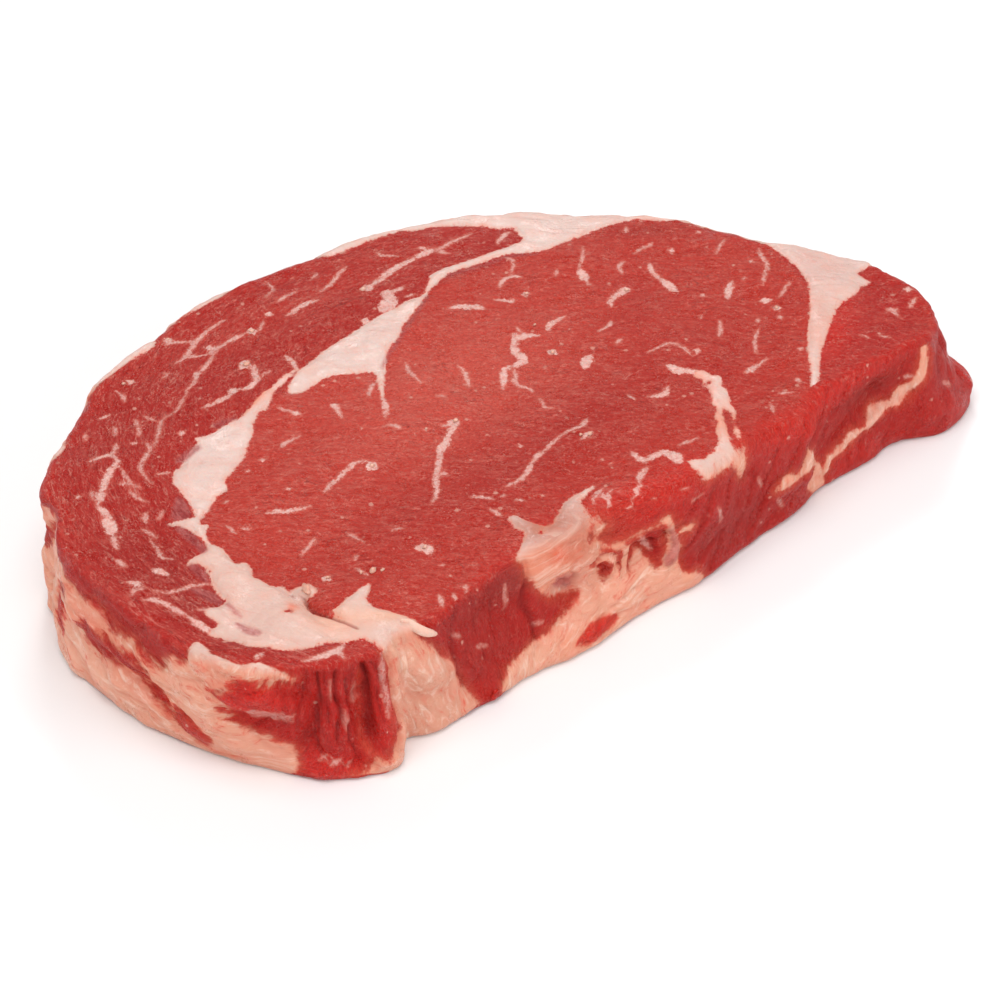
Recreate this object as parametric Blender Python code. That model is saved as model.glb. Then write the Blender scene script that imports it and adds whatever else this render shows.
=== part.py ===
"""A raw, boneless ribeye steak, lying flat: one cut slice of beef, about 203 x 122 x 29 mm.

The slice is one closed solid made of rings. A closed curve through RIM is the edge of the upper cut
face. Rings shrink from it to the middle of that face, run down the side wall to the foot, and shrink
again to the middle of the underside, which is flat where the steak rests. The wall leans, bulges and
folds as the cut muscles and fat do, and the upper face swells where a muscle or a fat seam stands proud.

Lengths in the tables are in millimetres; MM turns them into metres when the mesh is written.
"""

import bpy
import numpy as np

MM = 0.001

# The slice: its height at the middle of the long axis, and how much it thins towards +X.
THICKNESS = 26.6
TAPER = 0.02
COLUMNS = 176
SEED = 7

# The edge of the upper face, anticlockwise from the tail at +X, and how far the foot stands out from
# that edge (positive) or is tucked under it (negative).
RIM = (
    (95.8, -17.0, 4.0), (94.0, -8.5, 3.0), (86.5, 1.5, 1.5), (80.5, 8.5, 1.0), (76.5, 16.5, 0.5),
    (72.5, 24.5, 0.5), (65.5, 31.5, 0.5), (57.5, 37.5, 0.0), (51.5, 42.5, 0.0), (45.5, 47.5, 0.5),
    (38.2, 51.0, 0.5), (30.0, 54.6, 0.5), (21.0, 57.2, 0.0), (7.0, 59.0, -0.5), (-7.0, 59.1, -0.5),
    (-25.0, 58.3, 0.0), (-37.2, 55.6, 0.0), (-47.2, 51.5, 0.5), (-55.3, 48.7, 0.5), (-64.5, 44.7, 0.0),
    (-70.6, 38.7, 0.0), (-77.7, 33.3, 0.5), (-85.7, 26.2, 0.5), (-91.4, 19.4, 0.5), (-92.2, 12.5, 0.5),
    (-95.8, 6.4, 0.8), (-97.5, -3.0, 0.6), (-97.0, -17.0, -0.6), (-95.0, -30.0, -2.2),
    (-91.3, -42.0, -4.3), (-85.3, -50.3, -3.7), (-75.0, -56.0, 0.6), (-64.0, -57.4, 3.2),
    (-58.0, -55.0, 0.4), (-50.0, -56.0, 1.0), (-39.0, -52.4, 3.0), (-27.0, -49.9, 4.4),
    (-17.0, -49.3, 5.2), (-8.0, -48.3, 5.2), (3.0, -49.2, 2.8), (17.0, -50.2, 1.2), (29.0, -47.8, 0.8),
    (40.0, -46.3, 0.2), (49.0, -45.8, -1.0), (56.0, -41.4, 0.8), (68.0, -40.4, 0.8),
    (80.0, -39.4, -0.2), (88.6, -38.0, 4.8), (94.8, -31.6, 8.0), (96.2, -23.0, 6.0),
)

# How the side meets the faces: the round of the upper edge, the softer round of the torn shoulder over
# the middle of the front, where that shoulder starts and ends along the edge, and the round of the foot.
EDGE_ROUND = 1.9
SHOULDER_ROUND = 5.0
SHOULDER = (392.0, 448.0)
SHOULDER_FADE = 12.0
FOOT_ROUND = 1.6

# Forms of the side wall: place along the edge, share of the height, half length, half height as a
# share, and how far the form stands out (positive) or is sunk (negative).
WALL_FORMS = (
    # the fat cap at the left end: a sunk red strip, the fat lip under it, a fold and the fat belly
    (272.0, 0.84, 15.0, 0.12, -1.6), (276.0, 0.60, 12.0, 0.09, 1.1), (281.0, 0.42, 6.0, 0.09, -1.6),
    (271.0, 0.22, 9.0, 0.15, 1.4), (296.0, 0.45, 8.0, 0.30, 1.2), (258.0, 0.72, 6.0, 0.18, 1.3),
    # the red lump and the fold below it, left of the front corner
    (306.0, 0.76, 6.5, 0.16, 2.2), (305.0, 0.50, 6.0, 0.08, -1.6), (300.0, 0.18, 12.0, 0.12, 0.8),
    # slices of muscle at the front corner, with the deep cleft beside the fat block
    (317.5, 0.60, 1.8, 0.35, -1.3), (322.0, 0.45, 2.2, 0.30, 1.0), (327.6, 0.55, 1.7, 0.32, -2.6),
    (331.5, 0.10, 3.0, 0.12, 1.4), (340.0, 0.45, 6.0, 0.40, 0.9),
    # the flat red muscle face, its hanging tip, and the pocket behind the fat knob
    (363.0, 0.62, 12.0, 0.22, -1.2), (360.0, 0.04, 5.0, 0.14, 1.2), (381.0, 0.55, 4.0, 0.11, -2.8),
    (381.0, 0.92, 9.0, 0.14, 1.6), (390.0, 0.50, 2.6, 0.12, -1.8), (402.0, 0.55, 5.0, 0.18, -3.0),
    (386.0, 0.14, 16.0, 0.14, 1.2), (396.0, 0.82, 12.0, 0.07, 1.0),
    # the torn red shoulder and the folds under it
    (418.0, 0.70, 7.0, 0.22, 1.0), (432.0, 0.55, 7.0, 0.22, -1.0), (445.0, 0.40, 7.0, 0.10, 1.2),
    (460.0, 0.42, 6.0, 0.10, -1.4),
    # the tail: a dark notch above the fat strip, and the red belly below it
    (470.0, 0.66, 7.0, 0.18, -2.4), (470.0, 0.42, 7.0, 0.08, 1.2), (484.0, 0.66, 4.0, 0.20, 1.0),
    (484.0, 0.28, 8.0, 0.20, 1.2), (497.0, 0.16, 6.5, 0.18, 2.2),
    # the back, out of the shown side: a few broad swells and hollows where the muscles meet
    (20.0, 0.60, 12.0, 0.30, -1.2), (55.0, 0.50, 14.0, 0.35, 1.0), (88.0, 0.45, 9.0, 0.30, -1.0),
    (128.0, 0.50, 22.0, 0.35, 0.8), (176.0, 0.55, 9.0, 0.30, -1.0), (206.0, 0.50, 12.0, 0.35, 1.0),
    (232.0, 0.60, 5.0, 0.25, -1.2),
)

# Forms of the upper face: centre, half length along the turned axis, half width, turn in degrees
# from +X, and height.
FACE_FORMS = (
    # the eye of the steak swells, and the cap beside it a little less
    (28.0, -8.0, 48.0, 30.0, 12.0, 0.8), (-52.0, 22.0, 40.0, 14.0, 35.0, 0.5),
    # the long fat seams between the two, proud in the middle and sunk along the edges
    (-6.0, 23.0, 16.0, 5.0, 15.0, 0.5), (-59.0, 8.0, 14.0, 6.0, 40.0, 0.4),
    (-76.0, -20.0, 20.0, 3.5, 80.0, 0.5), (-80.0, -30.0, 3.0, 14.0, 0.0, -0.5),
    (-68.0, -40.0, 2.0, 8.0, 0.0, -1.2),
    # the fat knob on the front edge and the torn shoulder behind it
    (-23.0, -45.0, 8.0, 5.0, 20.0, 1.4), (2.0, -46.0, 14.0, 4.0, 0.0, 0.8),
    (-38.0, -42.0, 7.0, 5.0, 30.0, -0.7), (46.0, -34.0, 10.0, 7.0, 60.0, -0.9),
    # the seam at the tail, with the red tail sinking towards its point
    (72.0, -18.0, 14.0, 5.0, 55.0, 0.4), (86.0, -26.0, 8.0, 8.0, 0.0, -0.8),
)

# Fine unevenness of the cut faces and of the torn wall: wave length and height.
FACE_WAVES = ((31.0, 0.35), (13.0, 0.22))
WALL_WAVES = ((27.0, 0.45), (9.0, 0.30))


def closed_curve(points, u):
    """Catmull-Rom curve through the points as a ring: between two neighbours it is the cubic whose
    slope at each point is half the step from the point before to the point after."""
    count = len(points)
    start = np.floor(u).astype(int)
    t = (u - start)[:, None]
    before, here, after, beyond = (points[(start + k) % count] for k in (-1, 0, 1, 2))
    square = 2 * before - 5 * here + 4 * after - beyond
    cube = -before + 3 * here - 3 * after + beyond
    return 0.5 * (2 * here + (after - before) * t + square * t**2 + cube * t**3)


def rim_columns(count):
    """Evenly spaced stations along the rim: their x, y, foot offset, and distance along the edge."""
    points = np.array(RIM)
    fine = np.linspace(0.0, len(points), 8001)
    curve = closed_curve(points, fine)
    steps = np.hypot(*np.diff(curve[:, :2], axis=0).T)
    travelled = np.concatenate([[0.0], np.cumsum(steps)])
    along = np.linspace(0.0, travelled[-1], count, endpoint=False)
    stations = closed_curve(points, np.interp(along, travelled, fine))
    return stations[:, :2], stations[:, 2], along, travelled[-1]


def outward(points):
    """Unit normals of a closed anticlockwise curve, from the step between each point's neighbours."""
    step = np.roll(points, -1, axis=0) - np.roll(points, 1, axis=0)
    step = step / np.linalg.norm(step, axis=1)[:, None]
    return np.stack([step[:, 1], -step[:, 0]], axis=1)


def waves(a, b, lengths_and_heights, seed):
    """Smooth unevenness: for each wave length, a sum of sine waves that run in seeded directions."""
    random = np.random.default_rng(seed)
    total = np.zeros(np.broadcast(a, b).shape)
    for length, height in lengths_and_heights:
        for angle, phase in random.uniform(0.0, 2.0 * np.pi, (5, 2)):
            run = a * np.cos(angle) + b * np.sin(angle)
            total += height * 0.4 * np.sin(2.0 * np.pi * run / length + phase)
    return total


def face_height(x, y):
    """Height of the upper face: the tapering slab plus each form as a turned Gaussian hill."""
    height = THICKNESS - TAPER * x + waves(x, y, FACE_WAVES, SEED)
    for middle_x, middle_y, half_length, half_width, turn, rise in FACE_FORMS:
        c, s = np.cos(np.radians(turn)), np.sin(np.radians(turn))
        run = ((x - middle_x) * c + (y - middle_y) * s) / half_length
        side = ((y - middle_y) * c - (x - middle_x) * s) / half_width
        height += rise * np.exp(-(run**2) - side**2)
    return height


def wall_swell(along, share, around):
    """How far the wall stands out at a place along the edge and a share of the height: Gaussian
    forms measured the short way round the ring, plus waves that fade out at the foot and the rim."""
    swell = np.zeros(np.broadcast(along, share).shape)
    for place, level, half_length, half_height, out in WALL_FORMS:
        gap = (along - place + around / 2.0) % around - around / 2.0
        swell += out * np.exp(-((gap / half_length) ** 2) - ((share - level) / half_height) ** 2)
    turn = 2.0 * np.pi * along / around
    ring_x, ring_y = around / 6.0 * np.cos(turn), around / 6.0 * np.sin(turn)
    rough = waves(ring_x + 20.0 * share, ring_y - 20.0 * share, WALL_WAVES, SEED + 1)
    return swell + rough * np.sin(np.pi * np.clip(share, 0.0, 1.0)) ** 0.5


def edge_round(along):
    """Radius of the upper edge: the plain round, eased up to the shoulder's over its stretch."""
    start, end = SHOULDER
    rise = np.clip((along - start + SHOULDER_FADE) / SHOULDER_FADE, 0.0, 1.0)
    fall = np.clip((end + SHOULDER_FADE - along) / SHOULDER_FADE, 0.0, 1.0)
    blend = np.minimum(rise, fall)
    blend = blend * blend * (3.0 - 2.0 * blend)
    return EDGE_ROUND + (SHOULDER_ROUND - EDGE_ROUND) * blend


def steak_rings():
    """Rings of points from the middle of the upper face to the middle of the underside."""
    rim, foot_out, along, around = rim_columns(COLUMNS)
    normal = outward(rim)
    radius = edge_round(along)
    rings = []

    edge = rim - normal * radius[:, None]
    for share in (0.10, 0.22, 0.34, 0.46, 0.57, 0.67, 0.76, 0.84, 0.91, 0.97):
        flat = edge * share
        rings.append(np.column_stack([flat, face_height(flat[:, 0], flat[:, 1])]))

    crest = face_height(edge[:, 0], edge[:, 1])
    wall_top = crest - radius
    for degrees in (0.0, 35.0, 65.0):
        bend = np.radians(degrees)
        out = radius * (np.sin(bend) - 1.0) + wall_swell(along, 1.0, around) * np.sin(bend)
        flat = rim + normal * out[:, None]
        rings.append(np.column_stack([flat, wall_top + radius * np.cos(bend)]))

    wall = np.linspace(1.0, 0.0, 10)
    for share in wall:
        level = FOOT_ROUND + (wall_top - FOOT_ROUND) * share
        out = foot_out * (1.0 - share) + wall_swell(along, share, around)
        flat = rim + normal * out[:, None]
        rings.append(np.column_stack([flat, level]))

    foot = rim + normal * (foot_out + wall_swell(along, 0.0, around))[:, None]
    foot_normal = outward(foot)
    for degrees in (35.0, 65.0, 90.0):
        bend = np.radians(degrees)
        flat = foot + foot_normal * (FOOT_ROUND * (np.cos(bend) - 1.0))
        rings.append(np.column_stack([flat, np.full(COLUMNS, FOOT_ROUND * (1.0 - np.sin(bend)))]))

    sole = rings[-1][:, :2]
    for share in (0.7, 0.35):
        rings.append(np.column_stack([sole * share, np.zeros(COLUMNS)]))
    return rings


def closed_mesh(name, rings):
    """Joins neighbouring rings by quads and closes both ends on a middle point, facing outwards."""
    count = len(rings[0])
    points = np.concatenate(rings + [np.array([[0.0, 0.0, face_height(0.0, 0.0)], [0.0, 0.0, 0.0]])])
    low, high = points.min(axis=0), points.max(axis=0)
    points[:, :2] -= (low[:2] + high[:2]) / 2.0
    here = np.arange(count)
    after = (here + 1) % count
    faces = []
    for ring in range(len(rings) - 1):
        up, down = ring * count, (ring + 1) * count
        faces += np.column_stack([up + here, down + here, down + after, up + after]).tolist()
    top, bottom = len(rings) * count, len(rings) * count + 1
    last = (len(rings) - 1) * count
    faces += np.column_stack([np.full(count, top), here, after]).tolist()
    faces += np.column_stack([np.full(count, bottom), last + after, last + here]).tolist()
    mesh = bpy.data.meshes.new(name)
    mesh.from_pydata((points * MM).tolist(), [], faces)
    mesh.validate()
    mesh.shade_smooth()
    return mesh


def raw_beef():
    """Red, moist, fresh-cut beef: the steak's main colour."""
    material = bpy.data.materials.new("raw_beef")
    material.use_nodes = True
    shader = material.node_tree.nodes["Principled BSDF"]
    shader.inputs["Base Color"].default_value = (0.52, 0.09, 0.06, 1.0)
    shader.inputs["Roughness"].default_value = 0.45
    shader.inputs["Metallic"].default_value = 0.0
    return material


def steak():
    """The whole steak as one object, its foot on the ground and its box centred on the origin."""
    mesh = closed_mesh("ribeye_steak", steak_rings())
    mesh.materials.append(raw_beef())
    part = bpy.data.objects.new("ribeye_steak", mesh)
    bpy.context.scene.collection.objects.link(part)
    return part


for old in list(bpy.data.objects):
    bpy.data.objects.remove(old, do_unlink=True)
steak()
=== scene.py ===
"""A raw ribeye steak lying flat: the slice with its painted muscles, fat seams, marbling and membranes,
the shreds torn at its front corner, and a few crumbs of fat, on a pale floor in soft light.

Tables are in millimetres, in the slice's own plan: +x towards the red tail, +y towards the cap's back
edge, measured from the same point as the slice's edge curve. Places on the side are given by the
distance along that edge and the share of the height.
"""

import bpy
import numpy as np
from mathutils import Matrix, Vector


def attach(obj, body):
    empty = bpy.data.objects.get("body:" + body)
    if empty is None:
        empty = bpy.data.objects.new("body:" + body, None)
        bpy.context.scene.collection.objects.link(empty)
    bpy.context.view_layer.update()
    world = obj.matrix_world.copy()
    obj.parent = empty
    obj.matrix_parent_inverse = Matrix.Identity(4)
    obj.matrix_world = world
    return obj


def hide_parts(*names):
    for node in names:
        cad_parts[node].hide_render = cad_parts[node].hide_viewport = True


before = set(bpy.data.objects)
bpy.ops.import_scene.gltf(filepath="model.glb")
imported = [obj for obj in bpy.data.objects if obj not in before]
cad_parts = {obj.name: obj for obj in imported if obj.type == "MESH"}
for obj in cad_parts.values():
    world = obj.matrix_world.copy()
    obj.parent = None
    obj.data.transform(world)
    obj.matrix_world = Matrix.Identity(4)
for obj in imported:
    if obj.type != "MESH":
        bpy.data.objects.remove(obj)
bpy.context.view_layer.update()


# The slice's form. The real piece is one slice sawn and knife-cut across the rib muscles, so it has two
# flat faces and a soft side wall that leans, folds and is torn at the front corner. It is one closed
# mesh: a grid for each face, joined by rings that run round the edge, down the wall and under the foot.

MM = 0.001
THICKNESS = 26.6
TAPER = 0.02
SEED = 7
RIM = (
    (95.8, -17.0, 4.0), (94.0, -8.5, 3.0), (86.5, 1.5, 1.5), (80.5, 8.5, 1.0), (76.5, 16.5, 0.5),
    (72.5, 24.5, 0.5), (65.5, 31.5, 0.5), (57.5, 37.5, 0.0), (51.5, 42.5, 0.0), (45.5, 47.5, 0.5),
    (38.2, 51.0, 0.5), (30.0, 54.6, 0.5), (21.0, 57.2, 0.0), (7.0, 59.0, -0.5), (-7.0, 59.1, -0.5),
    (-25.0, 58.3, 0.0), (-37.2, 55.6, 0.0), (-47.2, 51.5, 0.5), (-55.3, 48.7, 0.5), (-64.5, 44.7, 0.0),
    (-70.6, 38.7, 0.0), (-77.7, 33.3, 0.5), (-85.7, 26.2, 0.5), (-91.4, 19.4, 0.5), (-92.2, 12.5, 0.5),
    (-95.8, 6.4, 0.8), (-97.5, -3.0, 0.6), (-97.0, -17.0, -0.6), (-95.0, -30.0, -2.2),
    (-91.3, -42.0, -4.3), (-85.3, -50.3, -3.7), (-75.0, -56.0, 0.6), (-64.0, -57.4, 3.2),
    (-58.0, -55.0, 0.4), (-50.0, -56.0, 1.0), (-39.0, -52.4, 3.0), (-27.0, -49.9, 4.4),
    (-17.0, -49.3, 5.2), (-8.0, -48.3, 5.2), (3.0, -49.2, 2.8), (17.0, -50.2, 1.2), (29.0, -47.8, 0.8),
    (40.0, -46.3, 0.2), (49.0, -45.8, -1.0), (56.0, -41.4, 0.8), (68.0, -40.4, 0.8),
    (80.0, -39.4, -0.2), (88.6, -38.0, 4.8), (94.8, -31.6, 8.0), (96.2, -23.0, 6.0),
)
EDGE_ROUND = 1.9
SHOULDER_ROUND = 5.0
SHOULDER = (392.0, 448.0)
SHOULDER_FADE = 12.0
FOOT_ROUND = 1.6

# Forms of the wall: place along the edge, share of the height, half length, half height as a share,
# and how far out.
WALL_FORMS = (
    (272.0, 0.84, 15.0, 0.12, -1.6), (276.0, 0.60, 12.0, 0.09, 1.1), (281.0, 0.42, 6.0, 0.09, -1.6),
    (271.0, 0.22, 9.0, 0.15, 1.4), (296.0, 0.45, 8.0, 0.30, 1.2), (258.0, 0.72, 6.0, 0.18, 1.3),
    (306.0, 0.76, 6.5, 0.16, 2.2), (305.0, 0.50, 6.0, 0.08, -1.6), (300.0, 0.18, 12.0, 0.12, 0.8),
    (317.5, 0.60, 1.8, 0.35, -1.3), (322.0, 0.45, 2.2, 0.30, 1.0), (327.6, 0.55, 1.7, 0.32, -2.6),
    (331.5, 0.10, 3.0, 0.12, 1.4), (340.0, 0.45, 6.0, 0.40, 0.9),
    (363.0, 0.62, 12.0, 0.22, -1.2), (360.0, 0.04, 5.0, 0.14, 1.2), (381.0, 0.55, 4.0, 0.11, -2.8),
    (381.0, 0.92, 9.0, 0.14, 1.6), (390.0, 0.50, 2.6, 0.12, -1.8), (402.0, 0.55, 5.0, 0.18, -3.0),
    (386.0, 0.14, 16.0, 0.14, 1.2), (396.0, 0.82, 12.0, 0.07, 1.0),
    (418.0, 0.70, 7.0, 0.22, 1.0), (432.0, 0.55, 7.0, 0.22, -1.0), (445.0, 0.40, 7.0, 0.10, 1.2),
    (460.0, 0.42, 6.0, 0.10, -1.4),
    (470.0, 0.66, 7.0, 0.18, -2.4), (470.0, 0.42, 7.0, 0.08, 1.2), (484.0, 0.66, 4.0, 0.20, 1.0),
    (484.0, 0.28, 8.0, 0.20, 1.2), (497.0, 0.16, 6.5, 0.18, 2.2),
    (20.0, 0.60, 12.0, 0.30, -1.2), (55.0, 0.50, 14.0, 0.35, 1.0), (88.0, 0.45, 9.0, 0.30, -1.0),
    (128.0, 0.50, 22.0, 0.35, 0.8), (176.0, 0.55, 9.0, 0.30, -1.0), (206.0, 0.50, 12.0, 0.35, 1.0),
    (232.0, 0.60, 5.0, 0.25, -1.2),
)

# Forms of the upper face: centre, half length, half width, turn in degrees from +x, and height.
FACE_FORMS = (
    (28.0, -8.0, 48.0, 30.0, 12.0, 0.8), (-52.0, 22.0, 40.0, 14.0, 35.0, 0.5),
    (-6.0, 23.0, 16.0, 5.0, 15.0, 0.5), (-59.0, 8.0, 14.0, 6.0, 40.0, 0.4),
    (-76.0, -20.0, 20.0, 3.5, 80.0, 0.5), (-80.0, -30.0, 3.0, 14.0, 0.0, -0.5),
    (-68.0, -40.0, 2.0, 8.0, 0.0, -1.2),
    (-23.0, -45.0, 8.0, 5.0, 20.0, 1.4), (2.0, -46.0, 14.0, 4.0, 0.0, 0.8),
    (-38.0, -42.0, 7.0, 5.0, 30.0, -0.7), (46.0, -34.0, 10.0, 7.0, 60.0, -0.9),
    (72.0, -18.0, 14.0, 5.0, 55.0, 0.4), (86.0, -26.0, 8.0, 8.0, 0.0, -0.8),
)
FACE_WAVES = ((31.0, 0.35), (13.0, 0.22))
WALL_WAVES = ((27.0, 0.45), (9.0, 0.30))

# The faces' grids: the edge distances of their four corners, and the cells along the front and back
# sides and along the two ends. Even numbers, because the underside has cells twice as long.
CORNERS = (310.0, 495.0, 567.0, 747.0)
LONG_CELLS = 270
SHORT_CELLS = 150
WALL_RINGS = 40
EDGE_STEPS = (0.0, 18.0, 36.0, 54.0, 72.0)
FOOT_STEPS = (30.0, 60.0, 90.0)
# The underside's own grid starts this far inside the foot's last ring, at the slice's half width.
SOLE_INSET = 1.2
HALF_WIDTH = 60.0
# The step to both sides of a place from which the edge's direction is read.
DIRECTION_STEP = 0.8


def closed_curve(points, u):
    """Catmull-Rom curve through the points as a ring: between two neighbours it is the cubic whose
    slope at each point is half the step from the point before to the point after."""
    count = len(points)
    start = np.floor(u).astype(int)
    t = (u - start)[:, None]
    before, here, after, beyond = (points[(start + k) % count] for k in (-1, 0, 1, 2))
    square = 2 * before - 5 * here + 4 * after - beyond
    cube = -before + 3 * here - 3 * after + beyond
    return 0.5 * (2 * here + (after - before) * t + square * t**2 + cube * t**3)


def rim_stations(along):
    """Rim points, outward normals and foot offsets at distances along the edge, and its length: the
    curve is measured by adding up short chords, and read back at the distances asked for."""
    points = np.array(RIM)
    fine = np.linspace(0.0, len(points), 8001)
    curve = closed_curve(points, fine)
    steps = np.hypot(*np.diff(curve[:, :2], axis=0).T)
    travelled = np.concatenate([[0.0], np.cumsum(steps)])
    around = travelled[-1]

    def read(distance):
        return closed_curve(points, np.interp(distance % around, travelled, fine))

    here = read(along)
    step = read(along + DIRECTION_STEP)[:, :2] - read(along - DIRECTION_STEP)[:, :2]
    step /= np.linalg.norm(step, axis=1)[:, None]
    return here[:, :2], np.stack([step[:, 1], -step[:, 0]], axis=1), here[:, 2], around


def waves(a, b, lengths_and_heights, seed):
    """Smooth unevenness: for each wave length, a sum of sine waves that run in seeded directions."""
    random = np.random.default_rng(seed)
    total = np.zeros(np.broadcast(a, b).shape)
    for length, height in lengths_and_heights:
        for angle, phase in random.uniform(0.0, 2.0 * np.pi, (5, 2)):
            run = a * np.cos(angle) + b * np.sin(angle)
            total += height * 0.4 * np.sin(2.0 * np.pi * run / length + phase)
    return total


def face_height(x, y):
    """Height of the upper face: the tapering slab plus each form as a turned Gaussian hill."""
    height = THICKNESS - TAPER * x + waves(x, y, FACE_WAVES, SEED)
    for middle_x, middle_y, half_length, half_width, turn, rise in FACE_FORMS:
        c, s = np.cos(np.radians(turn)), np.sin(np.radians(turn))
        run = ((x - middle_x) * c + (y - middle_y) * s) / half_length
        side = ((y - middle_y) * c - (x - middle_x) * s) / half_width
        height += rise * np.exp(-(run**2) - side**2)
    return height


def wall_swell(along, share, around):
    """How far the wall stands out: Gaussian forms measured the short way round the ring, plus waves
    that fade out at the foot and the rim."""
    swell = np.zeros(np.broadcast(along, share).shape)
    for place, level, half_length, half_height, out in WALL_FORMS:
        gap = (along - place + around / 2.0) % around - around / 2.0
        swell += out * np.exp(-((gap / half_length) ** 2) - ((share - level) / half_height) ** 2)
    turn = 2.0 * np.pi * along / around
    ring_x, ring_y = around / 6.0 * np.cos(turn), around / 6.0 * np.sin(turn)
    rough = waves(ring_x + 20.0 * share, ring_y - 20.0 * share, WALL_WAVES, SEED + 1)
    return swell + rough * np.sin(np.pi * np.clip(share, 0.0, 1.0)) ** 0.5


def edge_round(along):
    """Radius of the upper edge: the plain round, eased up to the shoulder's over its stretch."""
    start, end = SHOULDER
    rise = np.clip((along - start + SHOULDER_FADE) / SHOULDER_FADE, 0.0, 1.0)
    fall = np.clip((end + SHOULDER_FADE - along) / SHOULDER_FADE, 0.0, 1.0)
    blend = np.minimum(rise, fall)
    blend = blend * blend * (3.0 - 2.0 * blend)
    return EDGE_ROUND + (SHOULDER_ROUND - EDGE_ROUND) * blend


def patch(loop, long_cells, short_cells):
    """A grid spanned inside a closed loop of points: each inner point is the blend of its opposite
    points on the front and back sides, plus that of its points on the two ends, less the blend of
    the four corners. Returns the inner points and the whole grid's places in (loop, inner)."""
    a, b = long_cells, short_cells
    front, right = loop[: a + 1], loop[a : a + b + 1]
    back = loop[a + b : 2 * a + b + 1][::-1]
    left = np.concatenate([loop[2 * a + b :], loop[:1]])[::-1]
    u = np.linspace(0.0, 1.0, a + 1)[None, :, None]
    v = np.linspace(0.0, 1.0, b + 1)[:, None, None]
    sides = (1 - v) * front[None] + v * back[None] + (1 - u) * left[:, None] + u * right[:, None]
    corners = (1 - u) * (1 - v) * front[0] + u * (1 - v) * front[-1]
    corners = corners + (1 - u) * v * back[0] + u * v * back[-1]
    inner = (sides - corners)[1:-1, 1:-1].reshape(-1, loop.shape[1])
    places = np.empty((b + 1, a + 1), int)
    places[0] = np.arange(a + 1)
    places[:, -1] = np.arange(a, a + b + 1)
    places[-1] = np.arange(a + b, 2 * a + b + 1)[::-1]
    places[1:, 0] = np.arange(2 * a + b, 2 * a + 2 * b)[::-1]
    places[1:-1, 1:-1] = len(loop) + np.arange(len(inner)).reshape(b - 1, a - 1)
    return inner, places


def slice_form():
    """The slice without its fine relief. Returns the points, the faces, and for each point its distance
    along the edge, its share of the height, and how far it is wall rather than face (0 to 1)."""
    starts = np.array(CORNERS)
    around = rim_stations(np.zeros(1))[3]
    ends = np.append(starts[1:], starts[0] + around)
    counts = (LONG_CELLS, SHORT_CELLS, LONG_CELLS, SHORT_CELLS)
    along = np.concatenate([np.linspace(s, e, n, endpoint=False) for s, e, n in zip(starts, ends, counts)])
    along %= around
    rim, normal, foot_out, around = rim_stations(along)
    radius = edge_round(along)
    edge = rim - normal * radius[:, None]
    crest = face_height(edge[:, 0], edge[:, 1])
    wall_top = crest - radius
    rings = []
    shares = []
    walls = []
    for degrees in EDGE_STEPS:
        bend = np.radians(degrees)
        out = radius * (np.sin(bend) - 1.0) + wall_swell(along, 1.0, around) * np.sin(bend)
        rings.append(np.column_stack([rim + normal * out[:, None], wall_top + radius * np.cos(bend)]))
        shares.append(1.0 - radius * (1.0 - np.cos(bend)) / crest)
        walls.append(np.full(len(along), degrees / 90.0))
    for share in np.linspace(1.0, 0.0, WALL_RINGS):
        level = FOOT_ROUND + (wall_top - FOOT_ROUND) * share
        out = foot_out * (1.0 - share) + wall_swell(along, share, around)
        rings.append(np.column_stack([rim + normal * out[:, None], level]))
        shares.append(level / crest)
        walls.append(np.ones(len(along)))
    foot = rim + normal * (foot_out + wall_swell(along, 0.0, around))[:, None]
    for degrees in FOOT_STEPS:
        bend = np.radians(degrees)
        flat = foot + normal * (FOOT_ROUND * (np.cos(bend) - 1.0))
        level = FOOT_ROUND * (1.0 - np.sin(bend))
        rings.append(np.column_stack([flat, np.full(len(along), level)]))
        shares.append(np.full(len(along), level) / crest)
        walls.append(np.full(len(along), 1.0 - 0.8 * degrees / 90.0))

    columns = len(along)
    faces = []
    here = np.arange(columns)
    after = (here + 1) % columns
    for ring in range(len(rings) - 1):
        up, down = ring * columns, (ring + 1) * columns
        faces.append(np.column_stack([up + here, down + here, down + after, up + after]))

    top, top_places = patch(rings[0], LONG_CELLS, SHORT_CELLS)
    top[:, 2] = face_height(top[:, 0], top[:, 1])
    points = np.concatenate(rings + [top])
    inner = top_places >= columns
    top_places = np.where(inner, top_places - columns + len(rings) * columns, top_places)
    faces.append(grid_faces(top_places))

    last = (len(rings) - 1) * columns
    coarse = columns // 2
    pairs = np.arange(coarse)
    loop = rings[-1][::2] * (1.0 - SOLE_INSET / HALF_WIDTH)
    sole, sole_places = patch(loop, LONG_CELLS // 2, SHORT_CELLS // 2)
    sole_places = sole_places + len(points)
    points = np.concatenate([points, loop, sole])
    near, far = last + 2 * pairs, last + (2 * pairs + 2) % columns
    one, two = sole_places.min() + pairs, sole_places.min() + (pairs + 1) % coarse
    middle = near + 1
    faces.append(np.column_stack([near, one, middle, middle]))
    faces.append(np.column_stack([middle, one, two, two]))
    faces.append(np.column_stack([middle, two, far, far]))
    faces.append(grid_faces(sole_places)[:, ::-1])

    rest = len(points) - len(rings) * columns
    full_along = np.concatenate([np.tile(along, len(rings)), np.zeros(rest)])
    full_share = np.concatenate(shares + [np.zeros(rest)])
    full_share[len(rings) * columns : len(rings) * columns + len(top)] = 1.0
    full_wall = np.concatenate(walls + [np.zeros(rest)])
    return points, np.concatenate(faces), full_along, full_share, full_wall, around


def grid_faces(places):
    """Four-cornered faces between the neighbouring places of a grid, anticlockwise from above."""
    corners = [places[:-1, :-1], places[:-1, 1:], places[1:, 1:], places[1:, :-1]]
    return np.stack(corners, axis=-1).reshape(-1, 4)


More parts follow.
